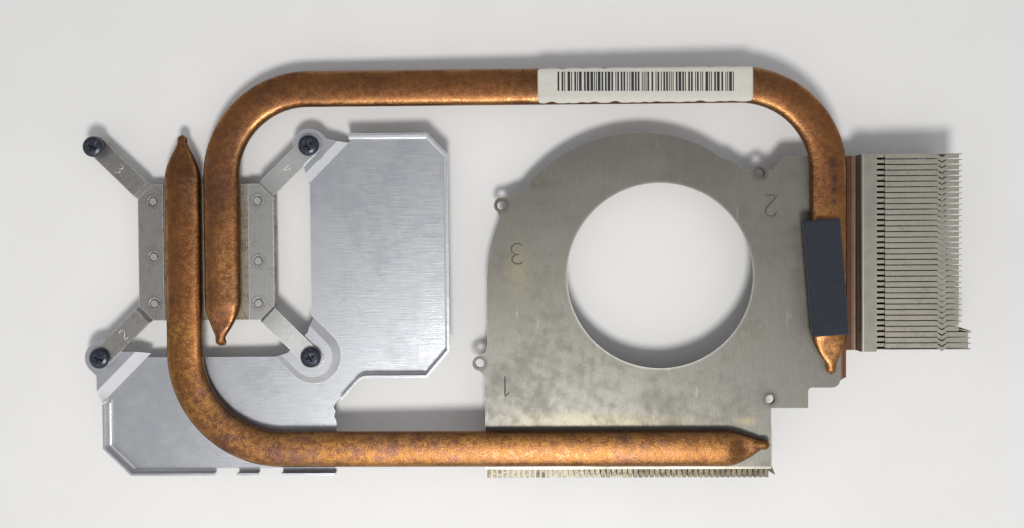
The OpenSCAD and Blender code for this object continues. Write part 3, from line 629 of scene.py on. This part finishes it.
def pipe_mesh(name, corners, radii, shifts, seed, curled=False):
    """Skin of one pipe. shifts push its two nibs aside; curled gives the first one a lip."""
    path = bend_path([Vector(c) for c in corners], radii)
    runs = [0.0]
    for (a, _), (b, _) in zip(path, path[1:]):
        runs.append(runs[-1] + (b - a).length)
    bm = bmesh.new()
    edge_rub_and_highlight = bm.verts.layers.float.new("edge_rub_and_highlight")
    rings = []
    for (point, ahead), run in zip(path, runs):
        left_to_go = runs[-1] - run
        shift = shifts[0] if run < left_to_go else shifts[1]
        half_wide, half_thick, hollow, aside = end_shape(min(run, left_to_go), shift)
        left = Vector((-ahead.y, ahead.x))
        ring = []
        for k in range(PIPE_SIDES):
            q = 2 * math.pi * k / PIPE_SIDES
            c, s = math.cos(q), math.sin(q)
            flat = max(0.0, half_wide - half_thick) * min(1.0, abs(c) * 1.6)
            a = math.copysign(flat, c) + half_thick * c
            a = max(-half_wide, min(half_wide, a))
            b = half_thick * s
            bulge = 1 - (a / half_wide) ** 2
            dent = noise.noise(Vector((point.x * 0.11 + a * 0.05, point.y * 0.11, seed + s)))
            if s > 0:
                b -= hollow * bulge * s
            if s > 0.1:
                ripple_x, ripple_y = point.x * 0.5 + a * 0.35, point.y * 0.5 + b * 0.3
                ripple = noise.noise(Vector((ripple_x, ripple_y, seed * 3.1)))
                b += DENT * dent + RIPPLE * ripple - TOP_SUNK * (1 + bulge)
            side = point + left * (a * (1 - 0.004 * (1 + dent)) + aside)
            vert = bm.verts.new(Vector((side.x, side.y, PIPE_MIDDLE + b)) * MM)
            # Gold rubs along the two upper edges, partly painted highlight.
            vert[edge_rub_and_highlight] = (0.8 * math.exp(-((q - RUB_AND_HIGHLIGHT_ANGLE) / RUB_AND_HIGHLIGHT_WIDTH) ** 2)
                              + math.exp(-((q - math.pi + RUB_AND_HIGHLIGHT_ANGLE) / RUB_AND_HIGHLIGHT_WIDTH) ** 2))
            ring.append(vert)
        rings.append(ring)
    join_rings(bm, rings)
    if curled:
        add_curled_lip(bm, *path[0], shifts[0])
    return mesh_from(bm, name)


def spot_at(finish, x, y, shape_x, shape_y, radius):
    """Mask of a soft mark at a place in plan; a shape below 1 makes it longer that way."""
    return mask(finish, spot, Place=(x, y, 0), Shape=(shape_x, shape_y, 0), Radius=radius)


def lay_low_run(copper, patches, crackle, heated, rub_and_highlight):
    """The brighter tone of the lower pipe's long run, from a height in plan downward, darkened
    towards the right as painted shade.
    """
    tone = mix(copper, crackle, LOW_RUN_BROWN, LOW_RUN_GOLD)
    # Painted shade: the run is darkened towards the right, where the lamp's glare falls.
    glare_shade = mask(copper, band, Start=40.0, End=220.0, Soft=45.0)
    for where, share, colour in ((patches, 0.40, LOW_RUN_RED), (heated, 0.75, LOW_RUN_PURPLE),
                                 (rub_and_highlight, 0.8, LOW_RUN_RUB_AND_HIGHLIGHT), (glare_shade, 0.30, LOW_RUN_SHADE)):
        tone = mix(copper, calc(copper, "MULTIPLY", where, share), tone, colour)
    low_run = mask(copper, band, Axis=ALONG_Y, Start=-90.0, End=LOW_RUN_TOP,
                   Soft=LOW_RUN_TOP - LOW_RUN_FULL)
    lay(copper, low_run, tone)


def tarnished_copper(name, look, bright_low_run=False):
    """Tarnished copper. Spots are place x, y, shape x, y and radius, in millimetres."""
    copper = Finish(name, 0.88, 0.4, look["brown"])
    patches = mask(copper, blotches, Size=0.07, Fine_Size=0.5, Fine_Share=0.3, Low=0.40, High=0.66)
    crackle = mask(copper, blotches, Size=0.7, Fine_Size=3.0, Fine_Share=0.5, Low=0.44, High=0.60)
    flecks = mask(copper, blotches, Size=2.2, Fine_Size=7.0, Fine_Share=0.5, Low=0.52, High=0.66)
    streaks = mask(copper, blotches, Size=0.16, Fine_Size=1.3, Fine_Share=0.4, Low=0.38, High=0.62)
    heated = mask(copper, blotches, Size=0.045, Fine_Size=0.25, Fine_Share=0.35,
                  Low=0.50, High=0.64)
    worked = mask(copper, grain, Stretch=look["worked"], Low=0.30, High=0.70)
    edge_rub_and_highlight = add_node(copper, "ShaderNodeAttribute", attribute_name="edge_rub_and_highlight")
    rub_and_highlight = calc(copper, "MULTIPLY", edge_rub_and_highlight.outputs["Fac"], streaks)
    bright = calc(copper, "MULTIPLY", crackle, look["gold_share"])
    for gold_spot in look["gold_spots"]:
        crackled = ramp(copper, crackle, To_Min=0.25, To_Max=0.95)
        mark = calc(copper, "MULTIPLY", spot_at(copper, *gold_spot), crackled)
        bright = calc(copper, "MAXIMUM", bright, mark)
    lay(copper, patches, look["dark"])
    lay(copper, bright, look["gold"])
    lay(copper, flecks, look["dark"], 0.18)
    # The edge rubs, partly painted highlight.
    lay(copper, rub_and_highlight, COPPER_GOLD_RUB_AND_HIGHLIGHT, 0.95)
    lay(copper, worked, look["dark"], 0.35)
    lay(copper, heated, COPPER_HEATED, 0.45)
    if bright_low_run:
        lay_low_run(copper, patches, crackle, heated, rub_and_highlight)
    for flux_spot in look["flux_spots"]:
        lay(copper, spot_at(copper, *flux_spot), COPPER_FLUX, 0.75)
    vary_roughness(copper, crackle, 0.30, 0.43)
    height = calc(copper, "ADD", crackle, calc(copper, "MULTIPLY", flecks, 0.6))
    emboss(copper, height, 0.16, 0.00012)
    return copper


lower_x = PAIR_MIDDLE_X - (PIPE_WIDE + PAIR_GAP) / 2
lower_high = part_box("lower_heat_pipe")[1]
lower_pipe = ride_root(
    pipe_mesh("lower_pipe", [(lower_x, lower_high.y / MM), (lower_x, LOWER_RUN_Y),
                             (lower_high.x / MM, LOWER_RUN_Y)],
              [LOWER_BEND], (0.0, 0.9), 1.7),
    tarnished_copper("lower_pipe_copper", LOWER_COPPER, bright_low_run=True))
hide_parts("lower_heat_pipe")

upper_x = PAIR_MIDDLE_X + (PIPE_WIDE + PAIR_GAP) / 2
upper_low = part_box("upper_heat_pipe")[0]
upper_pipe = ride_root(
    pipe_mesh("upper_pipe", [(upper_x, UPPER_START_Y), (upper_x, UPPER_RUN_Y),
                             (UPPER_RIGHT_X, UPPER_RUN_Y), (UPPER_RIGHT_X, upper_low.y / MM)],
              [UPPER_BEND, UPPER_BEND], (0.8, 0.7), 5.3, curled=True),
    tarnished_copper("upper_pipe_copper", UPPER_COPPER))
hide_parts("upper_heat_pipe")

# The spreader: a thin rolled sheet of bright aluminium, pressed up at its edges and at three of
# the screws, and soldered under the lower pipe. It spreads the heat of the chips beside the
# processor, and has fine scratches across it. Its pressed-up slopes carry a painted highlight.
SHEET_BLUE = (0.405, 0.420, 0.450)
SHEET_DULL = (0.325, 0.335, 0.360)
SHEET_LINES = (0.56, 0.57, 0.59)
SHEET_SCRATCH = (0.25, 0.25, 0.26)
SHEET_DOTS = (0.20, 0.19, 0.18)
SHEET_SLOPE_HIGHLIGHT = (0.88, 0.88, 0.89)
SHEET_EDGE = (0.90, 0.90, 0.90)

sheet = Finish("spreader_aluminium", 0.9, 0.38, SHEET_BLUE)
haze = mask(sheet, blotches, Size=0.05, Fine_Size=0.3, Fine_Share=0.35, Low=0.38, High=0.66)
lines = mask(sheet, grain, Stretch=(0.12, 6.0, 1.0), Low=0.28, High=0.72)
scratches = mask(sheet, grain, Stretch=(0.7, 0.06, 1.0), Low=0.66, High=0.72)
dots = mask(sheet, blotches, Size=1.1, Fine_Size=4.0, Fine_Share=0.5, Low=0.66, High=0.72)
# Painted highlight: the slopes of the pressed-up parts are laid near white and made less metallic.
slope = ramp(sheet, facing_up(sheet), From_Min=0.995, From_Max=0.93, To_Min=0.0, To_Max=1.0)
pressed_up = mask(sheet, band, Axis=UP, Start=2.6, End=5.5, Soft=0.2)
slope_highlight = calc(sheet, "MULTIPLY", slope, pressed_up)
lay(sheet, haze, SHEET_DULL)
lay(sheet, lines, SHEET_LINES, 0.28)
lay(sheet, scratches, SHEET_SCRATCH, 0.3)
lay(sheet, dots, SHEET_DOTS, 0.5)
lay(sheet, slope_highlight, SHEET_SLOPE_HIGHLIGHT, 0.50)
lay(sheet, mask(sheet, edge_wear, Width=0.00022), SHEET_EDGE, 0.8)
wire(sheet, (ramp(sheet, slope_highlight, To_Min=0.9, To_Max=0.5), sheet.shader.inputs["Metallic"]))
vary_roughness(sheet, haze, 0.30, 0.46)
emboss(sheet, lines, 0.16, 0.0001)
paint("spreader_plate", sheet)

# The fan cover: a stamped sheet that closes the blower from above, with its round inlet and four
# screw ears. It is soldered to both fin stacks; flux and heat have stained it brown and yellow.
# Its front edge carries a painted highlight, the trough by the upper pipe a painted reflection
# and shade, and each screw hole a ring of painted shade.
FAN_HOLES = [(81.8, 12.4), (75.5, -31.2), (152.6, 20.6), (155.2, -41.5)]
INLET_CENTRE = (125.2, -7.3, 0)
INLET_RADIUS = 27.2
COVER_GREY = (0.152, 0.146, 0.128)
COVER_DARK = (0.118, 0.106, 0.089)
COVER_STAIN = (0.215, 0.205, 0.180)
COVER_BROWN = (0.085, 0.074, 0.062)
COVER_YELLOW = (0.27, 0.225, 0.125)
COVER_LINES = (0.34, 0.33, 0.30)
COVER_LOW = (0.150, 0.148, 0.138)
COVER_INLET_RIM = (0.42, 0.41, 0.37)
COVER_FRONT_EDGE_HIGHLIGHT = (0.46, 0.44, 0.36)
COVER_SCRATCH = (0.33, 0.32, 0.29)
COVER_SPECK = (0.075, 0.068, 0.058)
COVER_RIGHT = (0.205, 0.198, 0.176)
COVER_TROUGH_REFLECTION_AND_SHADE = (0.115, 0.043, 0.020)
COVER_TROUGH_WALL_REFLECTION = (0.215, 0.160, 0.125)
COVER_LIP = (0.320, 0.300, 0.258)
COVER_EDGE = (0.62, 0.60, 0.54)
COVER_HOLE_SHADE = (0.040, 0.036, 0.030)
COVER_HOLE_SHADE_RADIUS = 3.0
# Marks: place x, y, shape x, y, radius and share
BROWN_MARKS = [
    (93.0, 19.0, 1.0, 1.0, 14.0, 0.75), (110.0, 27.0, 0.6, 1.0, 9.0, 0.55),
    (140.0, 22.0, 0.8, 1.0, 12.0, 0.35), (170.0, 5.0, 1.0, 0.4, 12.0, 0.45),
    (83.0, 2.0, 1.0, 0.5, 8.0, 0.35)]
YELLOW_MARKS = [
    (148.6, -47.4, 0.55, 1.3, 2.6, 0.9), (86.0, -5.0, 1.0, 0.4, 5.0, 0.35),
    (100.0, -47.0, 0.15, 1.0, 4.0, 0.35), (121.0, -47.5, 0.12, 1.0, 3.0, 0.4)]
# The edge of each screw hole is rolled up to a small rim of radius and height
RIM_OUTLINE = [(1.27, 0.0), (1.30, 0.12), (1.48, 0.20), (1.72, 0.16), (1.85, 0.0), (1.85, -0.05),
               (1.27, -0.05)]
RIM_SIDES = 40
RIM_DARK = (0.30, 0.29, 0.27)
RIM_BRIGHT = (0.52, 0.51, 0.48)
COVER_FIGURES = [("1", (82.4, -37.6)), ("2", (155.5, 11.6)), ("3", (86.0, -1.0))]
COVER_FIGURE_SIZE = 3.6
COVER_FIGURE_TURN = 180
COVER_BEAD = (0.46, 0.10)
COVER_STAMP_DARK = (0.075, 0.068, 0.057)
COVER_STAMP_BRIGHT = (0.140, 0.130, 0.112)

cover = Finish("cover_sheet_metal", 0.85, 0.45, COVER_GREY)
cloud = mask(cover, blotches, Size=0.045, Fine_Size=0.35, Fine_Share=0.4, Low=0.40, High=0.64)
stain = mask(cover, blotches, Size=0.09, Fine_Size=2.2, Fine_Share=0.55, Low=0.46, High=0.70)
lines = mask(cover, grain, Stretch=(5.0, 0.5, 1.0), Low=0.25, High=0.75)
scratches = mask(cover, grain, Stretch=(0.5, 0.07, 1.0), Low=0.67, High=0.72)
specks = mask(cover, blotches, Size=1.3, Fine_Size=4.5, Fine_Share=0.5, Low=0.62, High=0.70)
low_part = mask(cover, band, Axis=ALONG_Y, Start=-52.0, End=-24.0, Soft=12.0)
# Painted highlight along the cut front edge.
front_edge_highlight = mask(cover, band, Axis=ALONG_Y, Start=-62.0, End=-59.9, Soft=0.15)
right_part = mask(cover, band, Start=140.0, End=240.0, Soft=30.0)
# Painted reflection and shade: the trough beside the upper pipe is laid copper brown, and its wall
# brown grey as a painted reflection of the pipe.
trough_reflection_and_shade = mask(cover, band, Start=174.4, End=178.7, Soft=0.6)
trough_wall_reflection = mask(cover, band, Start=177.4, End=178.78, Soft=0.2)
lip = mask(cover, band, Start=178.8, End=190.0, Soft=0.2)
inlet = mask(cover, spot, Place=INLET_CENTRE, Radius=INLET_RADIUS)
inlet_rim = ramp(cover, inlet, From_Min=0.004, From_Max=0.012, To_Min=0.0, To_Max=1.0)
lay(cover, cloud, COVER_DARK, 0.30)
lay(cover, stain, COVER_STAIN, 0.4)
for *mark, share in BROWN_MARKS:
    lay(cover, calc(cover, "MULTIPLY", spot_at(cover, *mark), cloud), COVER_BROWN, share)
for *mark, share in YELLOW_MARKS:
    lay(cover, spot_at(cover, *mark), COVER_YELLOW, share)
lay(cover, lines, COVER_LINES, 0.16)
lay(cover, low_part, COVER_LOW, 0.30)
lay(cover, inlet_rim, COVER_INLET_RIM, 0.55)
lay(cover, front_edge_highlight, COVER_FRONT_EDGE_HIGHLIGHT, 0.7)
lay(cover, scratches, COVER_SCRATCH, 0.35)
lay(cover, specks, COVER_SPECK, 0.5)
lay(cover, right_part, COVER_RIGHT, 0.45)
lay(cover, trough_reflection_and_shade, COVER_TROUGH_REFLECTION_AND_SHADE, 0.92)
lay(cover, trough_wall_reflection, COVER_TROUGH_WALL_REFLECTION, 0.85)
lay(cover, lip, COVER_LIP, 0.8)
lay(cover, mask(cover, edge_wear, Width=0.00020), COVER_EDGE, 0.55)
# Painted shade: a dark ring round each screw hole's rim.
for x, y in FAN_HOLES:
    lay(cover, mask(cover, spot, Place=(x, y, 0), Radius=COVER_HOLE_SHADE_RADIUS), COVER_HOLE_SHADE)
vary_roughness(cover, cloud, 0.38, 0.54)
emboss(cover, lines, 0.12, 0.0001)
paint("fan_cover", cover)

rim_metal = Finish("rolled_rim", 0.85, 0.36, RIM_DARK)
lines = mask(rim_metal, grain, Stretch=(3.0, 3.0, 1.0))
lay(rim_metal, lines, RIM_BRIGHT)
vary_roughness(rim_metal, lines, 0.3, 0.45)
for i, (hole_x, hole_y) in enumerate(FAN_HOLES):
    bm = bmesh.new()
    rings = []
    for k in range(RIM_SIDES):
        q = 2 * math.pi * k / RIM_SIDES
        rings.append([bm.verts.new(Vector((hole_x + r * math.cos(q), hole_y + r * math.sin(q),
                                           SEAT_HEIGHT + z)) * MM) for r, z in RIM_OUTLINE])
    join_rings(bm, rings + rings[:1], capped=False)
    ride_root(mesh_from(bm, "fan_screw_rim_%d" % (i + 1)), rim_metal)

cover_stamp = Finish("stamped_figure_cover", 0.8, 0.5, COVER_STAMP_DARK)
lines = mask(cover_stamp, grain, Stretch=(4.0, 1.0, 1.0))
lay(cover_stamp, lines, COVER_STAMP_BRIGHT)
vary_roughness(cover_stamp, lines, 0.45, 0.6)
for figure, centre in COVER_FIGURES:
    mesh = figure_mesh("figure_%s_on_cover" % figure, figure, centre, COVER_FIGURE_SIZE,
                       COVER_FIGURE_TURN, SEAT_HEIGHT - FIGURE_SUNK, COVER_BEAD)
    ride_root(mesh, cover_stamp)

# The tall fin stack: thin aluminium fins with folded edges that lock into each other like a zip.
# They are soldered under the cover's lip; the folded edges are worn bright and grey dust lies
# between them.
TALL_BEIGE = (0.385, 0.358, 0.290)
TALL_DUST = (0.215, 0.195, 0.165)
TALL_LINES = (0.50, 0.485, 0.44)


def fin_finish(name, base, dust, bright_lines):
    """Dull fin sheet, with dust patches and lighter rolled lines."""
    fins = Finish(name, 0.8, 0.45, base)
    patches = mask(fins, blotches, Size=0.16, Fine_Size=1.2, Fine_Share=0.5, Low=0.38, High=0.68)
    lines = mask(fins, grain, Stretch=(0.4, 5.0, 1.0), Low=0.25, High=0.75)
    lay(fins, patches, dust)
    lay(fins, lines, bright_lines, 0.35)
    vary_roughness(fins, patches, 0.36, 0.55)
    emboss(fins, lines, 0.15, 0.0001)
    return fins


tall_fins = fin_finish("tall_fin_aluminium", TALL_BEIGE, TALL_DUST, TALL_LINES)
for node in ("tall_fin_stack", "bent_fin", "long_fins"):
    paint(node, tall_fins)

# The short fin stack: the same kind of fin, shorter, soldered under the lower pipe. Only a row
# of folded teeth looks out from under the cover; flux has turned them yellow.
SHORT_YELLOW = (0.128, 0.113, 0.077)
SHORT_DUST = (0.085, 0.073, 0.046)
SHORT_LINES = (0.19, 0.172, 0.135)

short_fins = fin_finish("short_fin_aluminium", SHORT_YELLOW, SHORT_DUST, SHORT_LINES)
for node in ("short_fin_stack", "end_fin"):
    paint(node, short_fins)

# The screws: cross-head machine screws, blackened, with heads worn at the rim and in the cross.
# Each stays in its arm by a thin open ring of spring steel on its neck.
HEAD_RADIUS = 2.8
HEAD_OUTLINE = [(0.12, 0.0), (0.0, 0.10), (0.0, 0.95), (0.08, 1.15), (0.28, 1.38), (0.62, 1.58),
                (1.1, 1.70), (1.18, 1.74)]
HEAD_SIDES = 48
CROSS_LONG, CROSS_HALF_WIDE, CROSS_CORE = 1.42, 0.30, 0.42
CROSS_TOP, CROSS_FLOOR, CROSS_POINT = 1.76, 0.85, 0.62
CROSS_FLOOR_SHARE = 0.80
NECK_RADIUS = 0.99
THREAD_RADIUS = 1.24
THREAD_DEPTH = 0.22
THREAD_PITCH = 0.45
THREAD_TOP = -3.4
SHANK_LENGTH = 7.8
SHANK_SIDES = 24
SCREW_BLACK = (0.032, 0.038, 0.052)
SCREW_WORN = (0.19, 0.20, 0.215)
RING_STEEL = (0.30, 0.30, 0.30)
RING_LINES = (0.42, 0.42, 0.41)


def level_ring(bm, radius, height, sides):
    """Points round the axis at one height."""
    angles = [2 * math.pi * k / sides for k in range(sides)]
    return [bm.verts.new((radius * math.cos(q), radius * math.sin(q), height)) for q in angles]


def cross_reach(q):
    """How far the cross in the head reaches from the axis at an angle."""
    best = CROSS_CORE
    for arm in range(4):
        along, side = math.cos(q - arm * math.pi / 2), abs(math.sin(q - arm * math.pi / 2))
        if along > 0:
            best = max(best, min(CROSS_LONG / along if along > 1e-6 else 9,
                                 CROSS_HALF_WIDE / side if side > 1e-6 else 9))
    return best


def screw_mesh(name, centre, under_head):
    """A cross-head screw with a crowned head, a neck and a thread, all turned about Z."""
    bm = bmesh.new()
    head = [level_ring(bm, NECK_RADIUS, 0.0, HEAD_SIDES)]
    head += [level_ring(bm, HEAD_RADIUS - inset, z, HEAD_SIDES) for inset, z in HEAD_OUTLINE]
    angles = [2 * math.pi * k / HEAD_SIDES for k in range(HEAD_SIDES)]
    for share, z in ((1.0, CROSS_TOP), (CROSS_FLOOR_SHARE, CROSS_FLOOR)):
        ring = []
        for q in angles:
            reach = cross_reach(q) * share
            ring.append(bm.verts.new((reach * math.cos(q), reach * math.sin(q), z)))
        head.append(ring)
    point = bm.verts.new((0, 0, CROSS_POINT))
    join_rings(bm, head, capped=False)
    for k in range(HEAD_SIDES):
        bm.faces.new((head[-1][k], head[-1][(k + 1) % HEAD_SIDES], point))
    neck = [level_ring(bm, NECK_RADIUS, z, SHANK_SIDES) for z in (0.0, THREAD_TOP)]
    join_rings(bm, neck, capped=False)
    outline = [(NECK_RADIUS, THREAD_TOP)]
    z = THREAD_TOP
    while z > -SHANK_LENGTH + THREAD_PITCH:
        outline += [(THREAD_RADIUS, z - 0.08), (THREAD_RADIUS, z - 0.14),
                    (THREAD_RADIUS - THREAD_DEPTH, z - THREAD_PITCH * 0.62)]
        z -= THREAD_PITCH
    outline += [(THREAD_RADIUS - 0.05, z - 0.05), (THREAD_RADIUS - 0.25, -SHANK_LENGTH + 0.05),
                (THREAD_RADIUS - 0.45, -SHANK_LENGTH)]
    shank = []
    for radius, z in outline:
        ring = level_ring(bm, radius, z, SHANK_SIDES)
        for k, vert in enumerate(ring):
            vert.co.z = max(z - THREAD_PITCH * 0.6 * k / SHANK_SIDES, -SHANK_LENGTH)
        shank.append(ring)
    join_rings(bm, shank, capped=False)
    bm.faces.new(shank[-1])
    bm.transform(Matrix.Rotation(math.radians(20 + 37 * centre[0] % 45), 4, "Z"))
    bm.transform(Matrix.Scale(MM, 4))
    bm.transform(Matrix.Translation(Vector((centre[0], centre[1], under_head)) * MM))
    return mesh_from(bm, name, smooth=lambda rise: rise < 0.98)


screw_black = Finish("blackened_screw", 0.55, 0.36, SCREW_BLACK)
worn = mask(screw_black, blotches, Size=0.8, Fine_Size=3.5, Fine_Share=0.5, Low=0.54, High=0.68)
lay(screw_black, worn, SCREW_WORN)
vary_roughness(screw_black, worn, 0.30, 0.48)
emboss(screw_black, worn, 0.2, 0.0001)

ring_steel = Finish("spring_steel_ring", 0.9, 0.35, RING_STEEL)
lines = mask(ring_steel, grain, Stretch=(3.0, 3.0, 1.0))
lay(ring_steel, lines, RING_LINES)
vary_roughness(ring_steel, lines, 0.3, 0.45)

for corner in ("top_left", "top_right", "bottom_left", "bottom_right"):
    low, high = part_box("screw_" + corner)
    centre = ((low.x + high.x) / 2 / MM, (low.y + high.y) / 2 / MM)
    mesh = screw_mesh("captive_screw_" + corner, centre, low.z / MM + SHANK_LENGTH)
    screw = ride_root(mesh, screw_black)
    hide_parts("screw_" + corner)
    paint("ring_" + corner, ring_steel)

# The foam pad: a block of dark open-cell foam with a woven skin, cut from a strip and stuck askew
# on the upper pipe. It closes the gap to the laptop's case; its edges are a little crushed.
PAD_LONG, PAD_WIDE = 31.25, 9.85
PAD_TURN = math.radians(4.4)
PAD_CUTS = (20, 62, 5)
PAD_ROUND = 0.35
PAD_SAG = 0.10
PAD_TUCK = 0.07
PAD_DARK = (0.0070, 0.0092, 0.0160)
PAD_THREADS = (0.0250, 0.0300, 0.0440)
PAD_WEFTS = (0.0130, 0.0160, 0.0250)
PAD_DUST = (0.11, 0.115, 0.13)

pad_low, pad_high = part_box("foam_pad")
pad_thick = (pad_high.z - pad_low.z) / MM
pad_centre = Vector(((pad_low.x + pad_high.x) / 2, (pad_low.y + pad_high.y) / 2, pad_low.z))
cuts_x, cuts_y, cuts_z = PAD_CUTS
bm = bmesh.new()
grid = {}
for i in range(cuts_x + 1):
    for j in range(cuts_y + 1):
        for k in range(cuts_z + 1):
            if 0 < i < cuts_x and 0 < j < cuts_y and 0 < k < cuts_z:
                continue
            up = k / cuts_z
            x = (i / cuts_x * 2 - 1) * PAD_WIDE / 2
            y = (j / cuts_y * 2 - 1) * PAD_LONG / 2
            z = up * pad_thick
            edge_x = max(0, abs(x) - (PAD_WIDE / 2 - PAD_ROUND)) / PAD_ROUND
            edge_y = max(0, abs(y) - (PAD_LONG / 2 - PAD_ROUND)) / PAD_ROUND
            if up > 0.5:
                z -= PAD_ROUND * 0.45 * min(1, edge_x * edge_x + edge_y * edge_y)
                z -= PAD_SAG * (1 + noise.noise(Vector((x * 0.25, y * 0.25, 3.0))))
            z = max(z, 0.0)
            wobble = 0.045 * noise.noise(Vector((x * 0.6, y * 0.6, z * 0.6 + 7)))
            x -= math.copysign(PAD_TUCK, x) * (1 - abs(up - 0.5)) - wobble
            y -= math.copysign(PAD_TUCK, y) * (1 - abs(up - 0.5))
            x = max(-PAD_WIDE / 2, min(PAD_WIDE / 2, x))
            y = max(-PAD_LONG / 2, min(PAD_LONG / 2, y))
            grid[i, j, k] = bm.verts.new(Vector((x, y, z)) * MM)
# Each pair of opposite sides is skinned square by square, over the two axes that it lies along
for a, b in ((0, 1), (0, 2), (1, 2)):
    fixed = 3 - a - b
    for m in range(PAD_CUTS[a]):
        for n in range(PAD_CUTS[b]):
            for level in (0, PAD_CUTS[fixed]):
                square = []
                for da, db in ((0, 0), (1, 0), (1, 1), (0, 1)):
                    step = [level, level, level]
                    step[a], step[b] = m + da, n + db
                    square.append(grid[tuple(step)])
                bm.faces.new(square)
bm.transform(Matrix.Translation(pad_centre) @ Matrix.Rotation(PAD_TURN, 4, "Z"))

foam = Finish("dark_foam", 0.0, 0.9, PAD_DARK)
foam.shader.inputs["Sheen Weight"].default_value = 0.12
foam.shader.inputs["Sheen Roughness"].default_value = 0.5
threads = mask(foam, grain, Stretch=(6.0, 0.9, 2.0), Low=0.3, High=0.7)
wefts = mask(foam, grain, Stretch=(0.5, 7.0, 2.0), Low=0.35, High=0.7)
dust = mask(foam, blotches, Size=0.3, Fine_Size=4.0, Fine_Share=0.6, Low=0.55, High=0.75)
lay(foam, threads, PAD_THREADS)
lay(foam, wefts, PAD_WEFTS, 0.4)
lay(foam, dust, PAD_DUST, 0.25)
emboss(foam, calc(foam, "ADD", threads, wefts), 0.4, 0.0002)
pad = ride_root(mesh_from(bm, "foam_block"), foam)
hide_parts("foam_pad")

# The paper label: a strip of off-white paper stuck along the upper pipe's flat. It bends down
# over the rounded edges of the pipe, is torn a little along its long sides, and carries a band
# of plain dark bars.
LABEL_CUTS_X, LABEL_CUTS_Y = 116, 20
LABEL_THICK = 0.09
LABEL_SUNK = 0.09
LABEL_WRAP = 0.28
LABEL_WIDE_SHARE = 0.975
LABEL_CORNER = 0.7
LABEL_TEAR = 0.6
LABEL_PAPER = (0.52, 0.50, 0.445)
LABEL_FIBRE = (0.575, 0.56, 0.505)
LABEL_GRIME = (0.42, 0.39, 0.33)
BARS_X = (97.3, 145.3)
BARS_Y = (42.7, 47.9)
BARS_SLOPE = -0.010
BARS_TURN_X = 121
BARS_STEPS = 8
BARS_LIFT = 0.012
BAR_WIDTHS = (0.26, 0.26, 0.5, 0.5, 0.75)
BAR_GAPS = (0.24, 0.24, 0.42, 0.6)
INK_BLACK = (0.012, 0.012, 0.014)
INK_WORN = (0.10, 0.10, 0.10)
label_low, label_high = [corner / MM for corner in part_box("paper_label")]


def label_height(y):
    """Height of the paper's face at a place across the pipe."""
    half_thick = PIPE_THICK / 2
    over = min(half_thick, max(0.0, abs(y - UPPER_RUN_Y) - (PIPE_WIDE / 2 - half_thick)))
    fall = half_thick - math.sqrt(half_thick ** 2 - over ** 2)
    return label_high.z - LABEL_SUNK - fall * LABEL_WRAP


label_half = (label_high.y - label_low.y) / 2 * LABEL_WIDE_SHARE
bm = bmesh.new()
face, back = [], []
for i in range(LABEL_CUTS_X + 1):
    x = label_low.x + (label_high.x - label_low.x) * i / LABEL_CUTS_X
    corner = max(0.0, 1.0 - min(x - label_low.x, label_high.x - x) / LABEL_CORNER)
    rounding = LABEL_TEAR * (1 - math.sqrt(max(0.0, 1 - corner ** 2)))
    places = []
    for j in range(LABEL_CUTS_Y + 1):
        v = j / LABEL_CUTS_Y * 2 - 1
        tear = noise.noise(Vector((x * 0.35, math.copysign(3.0, v), 2.0)))
        inward = (rounding - min(0.0, tear - 0.15) * LABEL_TEAR) * abs(v) ** 6
        y = UPPER_RUN_Y + v * label_half - math.copysign(inward, v)
        places.append(Vector((x, y, label_height(y))) * MM)
    face.append([bm.verts.new(place) for place in places])
    back.append([bm.verts.new(place - Vector(UP) * LABEL_THICK * MM) for place in places])
for i in range(LABEL_CUTS_X):
    for j in range(LABEL_CUTS_Y):
        bm.faces.new((face[i][j], face[i + 1][j], face[i + 1][j + 1], face[i][j + 1]))
        bm.faces.new((back[i][j], back[i][j + 1], back[i + 1][j + 1], back[i + 1][j]))
    for j in (0, LABEL_CUTS_Y):
        bm.faces.new((face[i][j], back[i][j], back[i + 1][j], face[i + 1][j]))
for j in range(LABEL_CUTS_Y):
    for i in (0, LABEL_CUTS_X):
        bm.faces.new((face[i][j], face[i][j + 1], back[i][j + 1], back[i][j]))

paper = Finish("label_paper_face", 0.0, 0.6, LABEL_PAPER)
fibre = mask(paper, blotches, Size=0.5, Fine_Size=4.0, Fine_Share=0.5, Low=0.35, High=0.7)
grime = mask(paper, blotches, Size=0.12, Fine_Size=0.9, Fine_Share=0.5, Low=0.55, High=0.75)
lay(paper, fibre, LABEL_FIBRE)
lay(paper, grime, LABEL_GRIME, 0.5)
emboss(paper, fibre, 0.15, 0.0001)
strip = mesh_from(bm, "label_strip", smooth=lambda rise: rise > 0.5)
label = ride_root(strip, paper)
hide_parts("paper_label")

ink = Finish("label_ink", 0.0, 0.55, INK_BLACK)
worn = mask(ink, blotches, Size=1.0, Fine_Size=5.0, Fine_Share=0.5, Low=0.6, High=0.8)
lay(ink, worn, INK_WORN)
vary_roughness(ink, worn, 0.5, 0.7)
draw = random.Random(11)
bm = bmesh.new()
x = BARS_X[0]
while x < BARS_X[1] - 0.3:
    wide = draw.choice(BAR_WIDTHS)
    gap = draw.choice(BAR_GAPS)
    rows = []
    for k in range(BARS_STEPS + 1):
        y = BARS_Y[0] + (BARS_Y[1] - BARS_Y[0]) * k / BARS_STEPS + (x - BARS_TURN_X) * BARS_SLOPE
        rows.append([bm.verts.new(Vector((side, y, label_height(y) + BARS_LIFT)) * MM)
                     for side in (x, x + wide)])
    for a, b in zip(rows, rows[1:]):
        bm.faces.new((a[0], a[1], b[1], b[0]))
    x += wide + gap
ride_root(mesh_from(bm, "label_bars", closed=False, smooth=lambda rise: False), ink)
